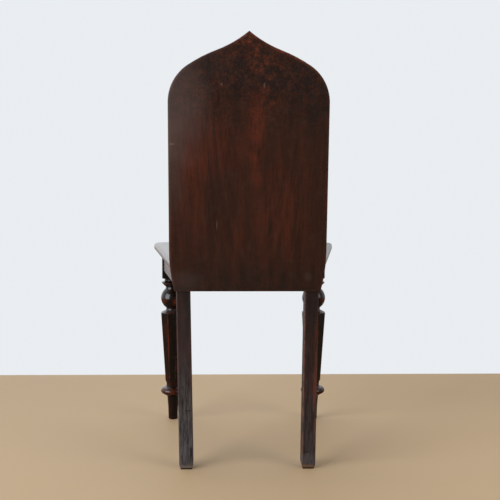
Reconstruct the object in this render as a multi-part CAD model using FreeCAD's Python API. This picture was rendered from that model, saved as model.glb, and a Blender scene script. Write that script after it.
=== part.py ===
import FreeCAD, Part
import math
import os
from collections import namedtuple

# Hall chair with a solid ogee-headed back, square raked rear legs and turned, faceted front legs.
# Millimetres, +Z up. The sitter looks along -Y and has +X at the left hand.
# The origin is on the floor, in the middle of the chair's width and depth.

# Driving sizes of the whole chair
OVERALL_HEIGHT = 942.0
SEAT_HEIGHT = 449.0
SEAT_DEPTH = 383.0
SEAT_FRONT_WIDTH = 457.0
PANEL_WIDTH = 340.5
BACK_RAKE_DEG = 5.0

# Clearances between worked wood, and between a screw and its hole
JOINT_GAP = 0.15
HOLE_GAP = 0.1
CUT_OVERRUN = 5.0

# Back panel: a single board whose foot hangs behind the seat frame
PANEL_THICKNESS = 22.0
PANEL_ARRIS = 2.0
SHOULDER_RADIUS = 92.5
SHOULDER_TURN_DEG = 56.5
BROW_RADIUS = 308.0
BROW_TURN_DEG = 69.3
HOLLOW_RADIUS = 240.0
PANEL_FOOT_RADIUS = 360.0
PANEL_FOOT_HEIGHT = 90.0

# Sunk field on the panel's front, with a stepped border that follows the head
FIELD_BORDER = 30.0
FIELD_STEP = 5.0
FIELD_STEP_DEPTH = 1.8
FIELD_DEPTH = 3.6
FIELD_ABOVE_SEAT = 52.0

# Seat board, with a nosed edge and a tongue that enters the panel
SEAT_THICKNESS = 20.0
SEAT_CORNER_RADIUS = 26.0
SEAT_TOP_ROUND = 6.0
SEAT_UNDER_CHAMFER = 7.0
SEAT_FRONT_OVERHANG = 13.0
SEAT_REAR_INSET = 1.5
TONGUE_INSET = 28.0
TONGUE_THICKNESS = 9.0
TONGUE_LENGTH = 7.0

# Rails of the seat frame and their tenons
RAIL_HEIGHT = 42.0
RAIL_THICKNESS = 20.0
FRONT_RAIL_SETBACK = 6.0
BACK_RAIL_SETBACK = 2.0
SIDE_RAIL_OVERHANG = 18.0
TENON_THICKNESS = 8.0
TENON_SHOULDER = 6.0
BLOCK_TENON_LENGTH = 22.0
POST_TENON_LENGTH = 12.0
BACK_TENON_LENGTH = 9.0
BACK_TENON_SETBACK = 4.0

# Front legs, in the order of their members: those above the taper hang from the block's lower end
BLOCK_SIZE = 58.0
BLOCK_LENGTH = 65.4
BLOCK_ARRIS = 1.0
BLOCK_STEP = 3.4
LEG_INSET = 43.9
BLOCK_CONE_LENGTH = 3.2
BLOCK_NECK_RADIUS = 19.3
BLOCK_NECK_LENGTH = 3.8
COLLAR_RADIUS = 27.0
COLLAR_TOP_LENGTH = 4.0
COLLAR_EDGE = 1.6
COLLAR_UNDER_LENGTH = 10.5
UPPER_NECK_RADIUS = 16.7
UPPER_NECK_LENGTH = 4.5
BALL_RADIUS = 29.0
BALL_ROOT_RADIUS = 17.6
BALL_LENGTH = 47.0
BALL_FOOT_LENGTH = 1.0
LOWER_NECK_RADIUS = 16.0
LOWER_NECK_LENGTH = 3.0
COVE_RADIUS = 21.5
COVE_LENGTH = 5.5
COVE_MIDDLE_SHARE = 0.33
CROWN_LENGTH = 4.0
TAPER_TOP_SIZE = 57.0
FACETS = 8

# Members below the taper, which stand on the floor
TAPER_END_SIZE = 37.0
TAPER_END_LENGTH = 8.0
ANKLE_RADIUS = 16.2
ANKLE_LENGTH = 7.0
ANKLE_FOOT_LENGTH = 3.0
RING_TOP_RADIUS = 20.0
RING_RADIUS = 30.3
RING_UNDER_RADIUS = 24.0
RING_LENGTH = 15.7
RING_WIDEST_SHARE = 0.49
RING_UNDER_LENGTH = 6.8
PEG_TOP_RADIUS = 14.4
PEG_UPPER_LENGTH = 29.5
PEG_WAIST_RADIUS = 12.3
PEG_LOWER_LENGTH = 28.5
PEG_END_RADIUS = 11.7
PEG_END_ROUND = 1.5

# Rear legs: square in section, raked back and leaning in towards the floor
REAR_LEG_WIDTH = 30.5
REAR_LEG_DEPTH = 38.0
REAR_LEG_INSET = 14.5
REAR_LEG_RECESS = 4.0
REAR_LEG_KICK = 44.0
REAR_LEG_LEAN = 7.2
REAR_LEG_ARRIS = 1.5

# Corner braces and rubbed glue blocks inside the seat frame
BRACE_HEIGHT = 30.0
FRONT_BRACE_REACH = 36.0
REAR_BRACE_REACH = 42.0
GLUE_BLOCK_LENGTH = 50.0
GLUE_BLOCK_SIZE = 17.0
GLUE_BLOCK_LIP = 6.0
FRONT_GLUE_BLOCK_X = 12.0
SIDE_GLUE_BLOCK_INSET = 86.0

# Wood screws with countersunk, slotted heads
SCREW_HEAD_RADIUS = 4.2
SCREW_HEAD_DEPTH = 2.6
SCREW_SHANK_RADIUS = 2.1
SCREW_POINT_LENGTH = 5.0
SCREW_SLOT_WIDTH = 0.9
SCREW_SLOT_DEPTH = 1.0
SEAT_SCREW_LENGTH = 32.0
BACK_SCREW_LENGTH = 34.0
BRACE_SCREW_LENGTH = 30.0
BRACE_SCREW_GRIP = 17.0
BRACE_SCREW_INSET = 15.0
BRACE_SCREW_OFFSET = 6.0
POCKET_RADIUS = 6.0
POCKET_TILT_DEG = 25.0
POCKET_LENGTH = 40.0
POCKET_HEAD_DROP = 17.0
POCKET_HEAD_INSET = 3.4
FRONT_SCREW_X = 84.0
SIDE_SCREW_INSET = 66.0
BACK_SCREW_X = 24.0
BACK_SCREW_SPACING = 42.0
BACK_SCREW_OFFSET = 7.0

# Heights, planes and slopes that follow from the sizes above
RAKE = math.radians(BACK_RAKE_DEG)
SEAT_UNDERSIDE = SEAT_HEIGHT - SEAT_THICKNESS
RAIL_BOTTOM = SEAT_UNDERSIDE - RAIL_HEIGHT
RAIL_MIDDLE = SEAT_UNDERSIDE - RAIL_HEIGHT / 2
TENON_BOTTOM = RAIL_BOTTOM + TENON_SHOULDER
TENON_TOP = SEAT_UNDERSIDE - TENON_SHOULDER
HEAD_OVERHANG = (OVERALL_HEIGHT - SEAT_HEIGHT) * math.tan(RAKE) + PANEL_THICKNESS * math.cos(RAKE)
FACE_Y_AT_SEAT = (SEAT_DEPTH - HEAD_OVERHANG) / 2
SEAT_FRONT_Y = FACE_Y_AT_SEAT - SEAT_DEPTH
SIDE_SLOPE = (SEAT_FRONT_WIDTH - PANEL_WIDTH + 2 * SEAT_REAR_INSET) / 2 / SEAT_DEPTH
SIDE_ANGLE = math.atan(SIDE_SLOPE)
BLOCK_FRONT_Y = SEAT_FRONT_Y + SEAT_FRONT_OVERHANG
BLOCK_BACK_Y = BLOCK_FRONT_Y + BLOCK_SIZE
LEG_Y = BLOCK_FRONT_Y + BLOCK_SIZE / 2
LEG_X = SEAT_FRONT_WIDTH / 2 - (LEG_Y - SEAT_FRONT_Y) * SIDE_SLOPE - LEG_INSET
BLOCK_INNER_X = LEG_X - BLOCK_SIZE / 2
BLOCK_BOTTOM = SEAT_UNDERSIDE - BLOCK_LENGTH
FRONT_RAIL_Y = BLOCK_FRONT_Y + FRONT_RAIL_SETBACK
FRONT_RAIL_BACK_Y = FRONT_RAIL_Y + RAIL_THICKNESS
FOOT_FACE_Y = FACE_Y_AT_SEAT - (SEAT_HEIGHT - RAIL_BOTTOM) * math.tan(RAKE)
REAR_LEG_BACK_Y = FOOT_FACE_Y + PANEL_THICKNESS / math.cos(RAKE) - REAR_LEG_RECESS
POST_FRONT_Y = REAR_LEG_BACK_Y - REAR_LEG_DEPTH
POST_INNER_X = PANEL_WIDTH / 2 - REAR_LEG_INSET - REAR_LEG_WIDTH
BACK_RAIL_Y = POST_FRONT_Y + BACK_RAIL_SETBACK

UP = FreeCAD.Vector(0, 0, 1)
TO_FRONT = FreeCAD.Vector(0, -1, 0)
TO_BACK = FreeCAD.Vector(0, 1, 0)
OUT_OF_SIDE = FreeCAD.Vector(math.cos(SIDE_ANGLE), math.sin(SIDE_ANGLE), 0)
ALONG_SIDE = FreeCAD.Vector(math.sin(SIDE_ANGLE), -math.cos(SIDE_ANGLE), 0)
INTO_BOARD = FreeCAD.Vector(0, math.cos(RAKE), -math.sin(RAKE))

# An edge counts as upright when at least this share of its run is vertical
UPRIGHT_SHARE = 0.9

Screw = namedtuple("Screw", "head direction length access_radius access_length")


def vector(x, y, z):
    """A point or direction."""
    return FreeCAD.Vector(x, y, z)


def polygon_face(points):
    """A flat face from its corners."""
    return Part.Face(Part.makePolygon(points + points[:1]))


def upright_edges(shape):
    """The straight edges that run straight up, or as nearly so as a raked leg's."""
    return [e for e in shape.Edges if abs(e.tangentAt(e.FirstParameter).dot(UP)) > UPRIGHT_SHARE]


def mirrored(shape):
    """The same shape for the other side of the chair."""
    return shape.mirror(vector(0, 0, 0), vector(1, 0, 0))


def both_sides(shapes):
    """Shapes of one side, followed by those of the other."""
    return shapes + [mirrored(shape) for shape in shapes]


def seat_side_x(y):
    """X of the seat's left edge."""
    return SEAT_FRONT_WIDTH / 2 - (y - SEAT_FRONT_Y) * SIDE_SLOPE


def side_rail_x(y, depth):
    """X of a line in the left side rail, at a depth square to its outer face."""
    return seat_side_x(y) - (SIDE_RAIL_OVERHANG + depth) / math.cos(SIDE_ANGLE)


def face_y(height):
    """Y of the panel's front face."""
    return FACE_Y_AT_SEAT + (height - SEAT_HEIGHT) * math.tan(RAKE)


def panel_point(x, rise):
    """A point on the panel's front face, given across it and up its slope from the seat rails."""
    return vector(x, FOOT_FACE_Y + rise * math.sin(RAKE), RAIL_BOTTOM + rise * math.cos(RAKE))


def polar(centre, radius, angle):
    """A point at an angle on a circle, in the panel's own plane."""
    return (centre[0] + radius * math.cos(angle), centre[1] + radius * math.sin(angle))


def head_arcs(inset):
    """Half of the ogee head, set in from the edge, as three arcs above the springing line."""
    shoulder_turn = math.radians(SHOULDER_TURN_DEG)
    brow_turn = math.radians(BROW_TURN_DEG)
    shoulder = (PANEL_WIDTH / 2 - SHOULDER_RADIUS, 0)
    brow = polar(shoulder, SHOULDER_RADIUS - BROW_RADIUS, shoulder_turn)
    hollow = polar(brow, BROW_RADIUS + HOLLOW_RADIUS, brow_turn)
    hollow_reach = HOLLOW_RADIUS + inset
    tip_turn = math.acos(-hollow[0] / hollow_reach)
    arcs = [
        (shoulder, SHOULDER_RADIUS - inset, 0, shoulder_turn),
        (brow, BROW_RADIUS - inset, shoulder_turn, brow_turn),
        (hollow, hollow_reach, brow_turn - math.pi, -tip_turn),
    ]
    return [[polar(c, r, turn) for turn in (start, (start + end) / 2, end)] for c, r, start, end in arcs]


APEX_RISE = (OVERALL_HEIGHT - RAIL_BOTTOM) / math.cos(RAKE)
SPRINGING_RISE = APEX_RISE - head_arcs(0)[-1][-1][1]


def panel_face(inset, side_end_rise, lower_edges):
    """A face of the panel: the head, two straight sides and the given edges that close it below."""
    edges = list(lower_edges)
    for side in (1, -1):
        for arc in head_arcs(inset):
            points = [panel_point(side * x, SPRINGING_RISE + rise) for x, rise in arc]
            edges.append(Part.Arc(*points).toShape())
        side_x = side * (PANEL_WIDTH / 2 - inset)
        ends = (panel_point(side_x, side_end_rise), panel_point(side_x, SPRINGING_RISE))
        edges.append(Part.LineSegment(*ends).toShape())
    return Part.Face(Part.Wire(Part.__sortEdges__(edges)))


def panel_foot_edges():
    """Lower edges of the board, whose sides curve in to meet the rear legs."""
    lowest_rise = -PANEL_THICKNESS * math.tan(RAKE)
    centre_x = PANEL_WIDTH / 2 - PANEL_FOOT_RADIUS
    corners = []
    edges = []
    for side in (1, -1):
        points = []
        for rise in (PANEL_FOOT_HEIGHT, (PANEL_FOOT_HEIGHT + lowest_rise) / 2, lowest_rise):
            reach = math.sqrt(PANEL_FOOT_RADIUS ** 2 - (PANEL_FOOT_HEIGHT - rise) ** 2)
            points.append(panel_point(side * (centre_x + reach), rise))
        edges.append(Part.Arc(*points).toShape())
        corners.append(points[-1])
    edges.append(Part.LineSegment(*corners).toShape())
    return edges


def field_face(inset):
    """The sunk field's outline, closed by a level line above the seat."""
    rise = (SEAT_HEIGHT + FIELD_ABOVE_SEAT + inset - RAIL_BOTTOM) / math.cos(RAKE)
    ends = [panel_point(side * (PANEL_WIDTH / 2 - inset), rise) for side in (1, -1)]
    return panel_face(inset, rise, [Part.LineSegment(*ends).toShape()])


def tongue(gap):
    """The seat's rear tongue, or its groove when a gap is given."""
    width = PANEL_WIDTH - 2 * (SEAT_REAR_INSET + TONGUE_INSET - gap)
    thickness = TONGUE_THICKNESS + 2 * gap
    middle = SEAT_HEIGHT - SEAT_THICKNESS / 2
    start = face_y(middle) - CUT_OVERRUN
    length = CUT_OVERRUN + TONGUE_LENGTH + gap
    return Part.makeBox(width, length, thickness, vector(-width / 2, start, middle - thickness / 2))


def depth_in_board(point):
    """How far a point lies behind the panel's front face."""
    return (point - panel_point(0, 0)).dot(INTO_BOARD)


def long_arrises(board):
    """The edges that run round the board's two faces, apart from those at its foot."""
    chosen = []
    for edge in board.Edges:
        middle = edge.valueAt((edge.FirstParameter + edge.LastParameter) / 2)
        depths = [depth_in_board(vertex.Point) for vertex in edge.Vertexes]
        if max(depths) - min(depths) < JOINT_GAP and middle.z > RAIL_BOTTOM:
            chosen.append(edge)
    return chosen


def back_panel():
    """The solid back: eased arrises, level foot, sunk field, groove and screw holes."""
    board = panel_face(0, PANEL_FOOT_HEIGHT, panel_foot_edges()).extrude(INTO_BOARD * PANEL_THICKNESS)
    board = board.makeFillet(PANEL_ARRIS, long_arrises(board))
    below = vector(-PANEL_WIDTH / 2, POST_FRONT_Y, RAIL_BOTTOM - RAIL_HEIGHT)
    board = board.cut(Part.makeBox(PANEL_WIDTH, REAR_LEG_DEPTH + PANEL_THICKNESS, RAIL_HEIGHT, below))
    for inset, depth in ((FIELD_BORDER, FIELD_STEP_DEPTH), (FIELD_BORDER + FIELD_STEP, FIELD_DEPTH)):
        outline = field_face(inset)
        outline.translate(INTO_BOARD * -CUT_OVERRUN)
        board = board.cut(outline.extrude(INTO_BOARD * (CUT_OVERRUN + depth)))
    return drilled(board.cut(tongue(JOINT_GAP)), back_screws())


def space_behind_face():
    """All the space behind the panel's front face that the seat could reach."""
    corners = [panel_point(x, rise) for x, rise in (
        (-PANEL_WIDTH, -PANEL_FOOT_HEIGHT),
        (PANEL_WIDTH, -PANEL_FOOT_HEIGHT),
        (PANEL_WIDTH, SPRINGING_RISE),
        (-PANEL_WIDTH, SPRINGING_RISE),
    )]
    return polygon_face(corners).extrude(INTO_BOARD * PANEL_WIDTH)


def seat_board():
    """The seat: a tapered board with rounded front corners and a nosed edge, tongued into the back."""
    back_y = FACE_Y_AT_SEAT + PANEL_THICKNESS
    corners = [
        vector(seat_side_x(SEAT_FRONT_Y), SEAT_FRONT_Y, SEAT_UNDERSIDE),
        vector(seat_side_x(back_y), back_y, SEAT_UNDERSIDE),
        vector(-seat_side_x(back_y), back_y, SEAT_UNDERSIDE),
        vector(-seat_side_x(SEAT_FRONT_Y), SEAT_FRONT_Y, SEAT_UNDERSIDE),
    ]
    board = polygon_face(corners).extrude(UP * SEAT_THICKNESS)
    front_corners = [e for e in upright_edges(board) if e.CenterOfMass.y < BLOCK_FRONT_Y]
    board = board.makeFillet(SEAT_CORNER_RADIUS, front_corners)
    board = board.makeFillet(SEAT_TOP_ROUND, seat_rim(board, SEAT_HEIGHT, back_y))
    board = board.makeChamfer(SEAT_UNDER_CHAMFER, seat_rim(board, SEAT_UNDERSIDE, back_y))
    board = board.cut(space_behind_face()).fuse(tongue(0)).removeSplitter()
    return drilled(board, seat_screws())


def seat_rim(board, height, back_y):
    """Edges of the seat at a height, without the one that lies behind the panel's face."""
    level = [e for e in board.Edges if all(abs(v.Z - height) < JOINT_GAP for v in e.Vertexes)]
    return [e for e in level if e.CenterOfMass.y < back_y - CUT_OVERRUN]


def tenon(root, direction, length, gap):
    """A tenon that leaves its shoulder at a point, in a level direction, or its mortise."""
    across = direction.cross(UP) * (TENON_THICKNESS / 2 + gap)
    inside = root - direction * TENON_THICKNESS
    tip = root + direction * (length + gap)
    base = polygon_face([inside - across, inside + across, tip + across, tip - across])
    base.translate(UP * (TENON_BOTTOM - gap))
    return base.extrude(UP * (TENON_TOP - TENON_BOTTOM + 2 * gap))


def front_tenon(gap):
    """The front rail's left tenon, which enters the leg's block."""
    root = vector(BLOCK_INNER_X, FRONT_RAIL_Y + RAIL_THICKNESS / 2, 0)
    return tenon(root, vector(1, 0, 0), BLOCK_TENON_LENGTH, gap)


def back_tenon(gap):
    """The back rail's left tenon, which enters the rear leg's post."""
    root = vector(POST_INNER_X, BACK_RAIL_Y + BACK_TENON_SETBACK + TENON_THICKNESS / 2, 0)
    return tenon(root, vector(1, 0, 0), BACK_TENON_LENGTH, gap)


def side_tenons(gap):
    """The left side rail's tenons, which enter the front leg's block and the rear leg's post."""
    middle = RAIL_THICKNESS / 2
    front_root = vector(side_rail_x(BLOCK_BACK_Y, middle), BLOCK_BACK_Y, 0)
    rear_root = vector(side_rail_x(POST_FRONT_Y, middle), POST_FRONT_Y, 0)
    front = tenon(front_root, ALONG_SIDE, BLOCK_TENON_LENGTH, gap)
    return front.fuse(tenon(rear_root, ALONG_SIDE * -1, POST_TENON_LENGTH, gap))


def front_rail():
    """The front rail, tenoned into both front legs."""
    width = 2 * BLOCK_INNER_X
    low = vector(-BLOCK_INNER_X, FRONT_RAIL_Y, RAIL_BOTTOM)
    rail = Part.makeBox(width, RAIL_THICKNESS, RAIL_HEIGHT, low)
    return drilled(rail.fuse(both_sides([front_tenon(0)])).removeSplitter(), seat_screws() + brace_screws())


def side_rail():
    """The left side rail, which tapers in towards the back, tenoned into both left legs."""
    corners = [
        vector(side_rail_x(BLOCK_BACK_Y, 0), BLOCK_BACK_Y, RAIL_BOTTOM),
        vector(side_rail_x(POST_FRONT_Y, 0), POST_FRONT_Y, RAIL_BOTTOM),
        vector(side_rail_x(POST_FRONT_Y, RAIL_THICKNESS), POST_FRONT_Y, RAIL_BOTTOM),
        vector(side_rail_x(BLOCK_BACK_Y, RAIL_THICKNESS), BLOCK_BACK_Y, RAIL_BOTTOM),
    ]
    rail = polygon_face(corners).extrude(UP * RAIL_HEIGHT)
    return drilled(rail.fuse(side_tenons(0)).removeSplitter(), seat_screws() + brace_screws())


def back_rail():
    """The back rail, whose rear face lies against the raked panel, tenoned into both posts."""
    corners = [
        vector(-POST_INNER_X, BACK_RAIL_Y, RAIL_BOTTOM),
        vector(-POST_INNER_X, face_y(RAIL_BOTTOM), RAIL_BOTTOM),
        vector(-POST_INNER_X, face_y(SEAT_UNDERSIDE), SEAT_UNDERSIDE),
        vector(-POST_INNER_X, BACK_RAIL_Y, SEAT_UNDERSIDE),
    ]
    rail = polygon_face(corners).extrude(vector(2 * POST_INNER_X, 0, 0))
    return drilled(rail.fuse(both_sides([back_tenon(0)])).removeSplitter(), back_screws() + brace_screws())


def turned(profile):
    """A solid turned on the left front leg's axis. Each step of its profile is a radius and a height,
    and a step of two such pairs is an arc through the first to the second."""
    last_height = profile[-1][-1]
    here = (0, profile[0][-1])
    edges = []
    for step in profile + [(0, last_height), (0, profile[0][-1])]:
        end = step[-2:]
        if len(step) > len(end):
            edges.append(Part.Arc(*[vector(r, 0, z) for r, z in (here, step[:2], end)]).toShape())
        else:
            edges.append(Part.LineSegment(*[vector(r, 0, z) for r, z in (here, end)]).toShape())
        here = end
    solid = Part.Face(Part.Wire(edges)).revolve(vector(0, 0, 0), UP, 360)
    solid.translate(vector(LEG_X, LEG_Y, 0))
    return solid


def stacked(height, sense, members):
    """A profile for turned(), upwards or downwards from a height by its sense. Each member gives its end's
    radius and its length. A member with two more values is an arc: the radius that it passes through,
    and the share of its length at which it does."""
    profile = []
    for radius, length, *through in members:
        end = (radius, height + sense * length)
        if through:
            middle_radius, share = through
            end = (middle_radius, height + sense * length * share) + end
        profile.append(end)
        height = end[-1]
    return profile


def upper_profile():
    """Neck, collar and ball, from the block's lower end down to the top of the taper."""
    cove_middle_radius = LOWER_NECK_RADIUS + (COVE_RADIUS - LOWER_NECK_RADIUS) * COVE_MIDDLE_SHARE
    return stacked(BLOCK_BOTTOM, -1, [
        (BLOCK_NECK_RADIUS, 0),
        (BLOCK_NECK_RADIUS, BLOCK_CONE_LENGTH + BLOCK_NECK_LENGTH),
        (COLLAR_RADIUS, COLLAR_TOP_LENGTH),
        (COLLAR_RADIUS, COLLAR_EDGE),
        (UPPER_NECK_RADIUS, COLLAR_UNDER_LENGTH),
        (BALL_ROOT_RADIUS, UPPER_NECK_LENGTH),
        (BALL_ROOT_RADIUS, BALL_LENGTH, BALL_RADIUS, 1 / 2),
        (LOWER_NECK_RADIUS, BALL_FOOT_LENGTH),
        (LOWER_NECK_RADIUS, LOWER_NECK_LENGTH),
        (COVE_RADIUS, COVE_LENGTH, cove_middle_radius, 1 - COVE_MIDDLE_SHARE),
        (COVE_RADIUS, CROWN_LENGTH),
    ])


def lower_profile():
    """Peg foot, ring and ankle, from the floor up to the bottom of the taper."""
    return stacked(0, 1, [
        (PEG_END_RADIUS - PEG_END_ROUND, 0),
        (PEG_END_RADIUS, PEG_END_ROUND),
        (PEG_WAIST_RADIUS, PEG_LOWER_LENGTH),
        (PEG_TOP_RADIUS, PEG_UPPER_LENGTH),
        (RING_UNDER_RADIUS, RING_UNDER_LENGTH),
        (RING_TOP_RADIUS, RING_LENGTH, RING_RADIUS, RING_WIDEST_SHARE),
        (ANKLE_RADIUS, ANKLE_FOOT_LENGTH),
        (ANKLE_RADIUS, ANKLE_LENGTH),
    ])


def block():
    """The leg's block, trimmed to a small step past the side rail, its lower end turned to a cone."""
    low = BLOCK_BOTTOM - BLOCK_SIZE
    outer_x = side_rail_x(BLOCK_BACK_Y, 0) + BLOCK_STEP
    corners = [
        vector(BLOCK_INNER_X, BLOCK_FRONT_Y, low),
        vector(outer_x, BLOCK_FRONT_Y, low),
        vector(outer_x, BLOCK_BACK_Y, low),
        vector(BLOCK_INNER_X, BLOCK_BACK_Y, low),
    ]
    square = polygon_face(corners).extrude(UP * (SEAT_UNDERSIDE - low))
    square = square.makeFillet(BLOCK_ARRIS, upright_edges(square))
    slope = BLOCK_CONE_LENGTH / (BLOCK_SIZE / 2 - BLOCK_NECK_RADIUS)
    envelope = turned([
        (BLOCK_NECK_RADIUS, BLOCK_BOTTOM - BLOCK_CONE_LENGTH),
        (BLOCK_SIZE, BLOCK_BOTTOM + BLOCK_SIZE / 2 * slope),
        (BLOCK_SIZE, SEAT_UNDERSIDE + CUT_OVERRUN),
    ])
    return square.common(envelope)


def octagon(size, height):
    """Corners of a regular octagon with flats to the front and the sides, on the leg's axis."""
    radius = size / 2 / math.cos(math.pi / FACETS)
    axis = vector(LEG_X, LEG_Y, height)
    turns = [(2 * corner + 1) * math.pi / FACETS for corner in range(FACETS)]
    return [axis + vector(radius * math.cos(turn), radius * math.sin(turn), 0) for turn in turns]


def faceted_taper():
    """The faceted shaft between its turned crown and its turned lower end."""
    top = upper_profile()[-1][-1]
    ankle = lower_profile()[-1][-1]
    end = ankle + TAPER_END_LENGTH
    crown = top + CROWN_LENGTH
    slope = (TAPER_TOP_SIZE - TAPER_END_SIZE) / (top - end)
    rings = [octagon(TAPER_TOP_SIZE + (height - top) * slope, height) for height in (ankle, crown)]
    shaft = Part.makeLoft([Part.makePolygon(ring + ring[:1]) for ring in rings], True, True)
    envelope = turned([
        (ANKLE_RADIUS, ankle),
        (TAPER_END_SIZE / 2, end),
        (TAPER_TOP_SIZE, end + TAPER_TOP_SIZE - TAPER_END_SIZE / 2),
        (TAPER_TOP_SIZE, top - CROWN_LENGTH),
        (TAPER_TOP_SIZE / 2, top),
        (COVE_RADIUS, crown),
    ])
    return shaft.common(envelope)


def front_leg():
    """The left front leg, turned and faceted from one square, with its two mortises."""
    turnings = [turned(upper_profile()), turned(lower_profile())]
    leg = block().fuse(turnings + [faceted_taper()]).removeSplitter()
    return leg.cut([front_tenon(JOINT_GAP), side_tenons(JOINT_GAP)])


def rear_leg():
    """The left rear leg: a raked, leaning square leg, rebated above its shoulder for the panel."""
    floor_x = POST_INNER_X - REAR_LEG_LEAN
    lean = vector(REAR_LEG_LEAN, -REAR_LEG_KICK, RAIL_BOTTOM)
    foot = [
        vector(floor_x + x, REAR_LEG_BACK_Y + REAR_LEG_KICK + y, 0)
        for x, y in ((0, 0), (REAR_LEG_WIDTH, 0), (REAR_LEG_WIDTH, -REAR_LEG_DEPTH), (0, -REAR_LEG_DEPTH))
    ]
    leg = polygon_face(foot).extrude(lean)
    leg = leg.makeFillet(REAR_LEG_ARRIS, upright_edges(leg))
    post = polygon_face([
        vector(POST_INNER_X, POST_FRONT_Y, RAIL_BOTTOM),
        vector(POST_INNER_X, face_y(RAIL_BOTTOM), RAIL_BOTTOM),
        vector(POST_INNER_X, face_y(SEAT_UNDERSIDE), SEAT_UNDERSIDE),
        vector(POST_INNER_X, POST_FRONT_Y, SEAT_UNDERSIDE),
    ]).extrude(vector(REAR_LEG_WIDTH, 0, 0))
    leg = leg.fuse(post).removeSplitter()
    return leg.cut([side_tenons(JOINT_GAP), back_tenon(JOINT_GAP)])


def brace(corners):
    """A corner brace glued under the seat, from its level outline."""
    outline = polygon_face([vector(x, y, SEAT_UNDERSIDE - BRACE_HEIGHT) for x, y in corners])
    return drilled(outline.extrude(UP * BRACE_HEIGHT), brace_screws())


def front_brace():
    """The left front brace, notched round the leg's block."""
    reach_y = BLOCK_BACK_Y + FRONT_BRACE_REACH
    return brace([
        (BLOCK_INNER_X, FRONT_RAIL_BACK_Y),
        (BLOCK_INNER_X - FRONT_BRACE_REACH, FRONT_RAIL_BACK_Y),
        (side_rail_x(reach_y, RAIL_THICKNESS), reach_y),
        (side_rail_x(BLOCK_BACK_Y, RAIL_THICKNESS), BLOCK_BACK_Y),
        (BLOCK_INNER_X, BLOCK_BACK_Y),
    ])


def rear_brace():
    """The left rear brace, notched round the rear leg's post."""
    reach_y = POST_FRONT_Y - REAR_BRACE_REACH
    return brace([
        (POST_INNER_X, BACK_RAIL_Y),
        (POST_INNER_X - REAR_BRACE_REACH, BACK_RAIL_Y),
        (side_rail_x(reach_y, RAIL_THICKNESS), reach_y),
        (side_rail_x(POST_FRONT_Y, RAIL_THICKNESS), POST_FRONT_Y),
        (POST_INNER_X, POST_FRONT_Y),
    ])


def glue_block(start, along, inward):
    """A bevelled block rubbed into the angle between a rail and the seat."""
    section = [
        (0, 0),
        (GLUE_BLOCK_SIZE, 0),
        (GLUE_BLOCK_SIZE, GLUE_BLOCK_LIP),
        (GLUE_BLOCK_LIP, GLUE_BLOCK_SIZE),
        (0, GLUE_BLOCK_SIZE),
    ]
    points = [start + inward * across - UP * down for across, down in section]
    return polygon_face(points).extrude(along * GLUE_BLOCK_LENGTH)


def front_glue_block():
    """The left block behind the front rail."""
    start = vector(FRONT_GLUE_BLOCK_X, FRONT_RAIL_BACK_Y, SEAT_UNDERSIDE)
    return glue_block(start, vector(1, 0, 0), TO_BACK)


def side_glue_block(from_front):
    """A block inside the left side rail, near its front or its rear end."""
    if from_front:
        y = BLOCK_BACK_Y + SIDE_GLUE_BLOCK_INSET
        along = ALONG_SIDE * -1
    else:
        y = POST_FRONT_Y - SIDE_GLUE_BLOCK_INSET
        along = ALONG_SIDE
    start = vector(side_rail_x(y, RAIL_THICKNESS), y, SEAT_UNDERSIDE)
    return glue_block(start, along, OUT_OF_SIDE * -1)


def pocket_screw(inner_point, outward):
    """A seat screw driven up through a gouged pocket in a rail's inner face."""
    tilt = math.radians(POCKET_TILT_DEG)
    direction = UP * math.cos(tilt) + outward * math.sin(tilt)
    head = inner_point + outward * POCKET_HEAD_INSET
    head.z = SEAT_UNDERSIDE - POCKET_HEAD_DROP
    return Screw(head, direction, SEAT_SCREW_LENGTH, POCKET_RADIUS, POCKET_LENGTH)


def seat_screws():
    """Places of the pocket screws: two in the front rail, two in each side rail."""
    places = [pocket_screw(vector(FRONT_SCREW_X, FRONT_RAIL_BACK_Y, 0), TO_FRONT)]
    for y in (BLOCK_BACK_Y + SIDE_SCREW_INSET, POST_FRONT_Y - SIDE_SCREW_INSET):
        places.append(pocket_screw(vector(side_rail_x(y, RAIL_THICKNESS), y, 0), OUT_OF_SIDE))
    return places + other_side(places)


def back_screws():
    """Places of the screws that hold the panel, staggered along the back rail."""
    places = []
    for step, offset in enumerate((BACK_SCREW_OFFSET, -BACK_SCREW_OFFSET)):
        head = vector(BACK_SCREW_X + step * BACK_SCREW_SPACING, BACK_RAIL_Y, RAIL_MIDDLE + offset)
        places.append(Screw(head, TO_BACK, BACK_SCREW_LENGTH, SCREW_HEAD_RADIUS, CUT_OVERRUN))
    return places + other_side(places)


def brace_screws():
    """Places of the screws that hold each brace to its two rails, one above the other."""
    high = SEAT_UNDERSIDE - BRACE_HEIGHT / 2 + BRACE_SCREW_OFFSET
    low = high - 2 * BRACE_SCREW_OFFSET
    front_y = BLOCK_BACK_Y + BRACE_SCREW_INSET
    rear_y = POST_FRONT_Y - BRACE_SCREW_INSET
    seats = [
        (vector(BLOCK_INNER_X - BRACE_SCREW_INSET, FRONT_RAIL_BACK_Y, high), TO_FRONT),
        (vector(POST_INNER_X - BRACE_SCREW_INSET, BACK_RAIL_Y, high), TO_BACK),
        (vector(side_rail_x(front_y, RAIL_THICKNESS), front_y, low), OUT_OF_SIDE),
        (vector(side_rail_x(rear_y, RAIL_THICKNESS), rear_y, low), OUT_OF_SIDE),
    ]
    radius = SCREW_HEAD_RADIUS + HOLE_GAP
    places = [
        Screw(seat - direction * BRACE_SCREW_GRIP, direction, BRACE_SCREW_LENGTH, radius, REAR_BRACE_REACH)
        for seat, direction in seats
    ]
    return places + other_side(places)


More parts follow.
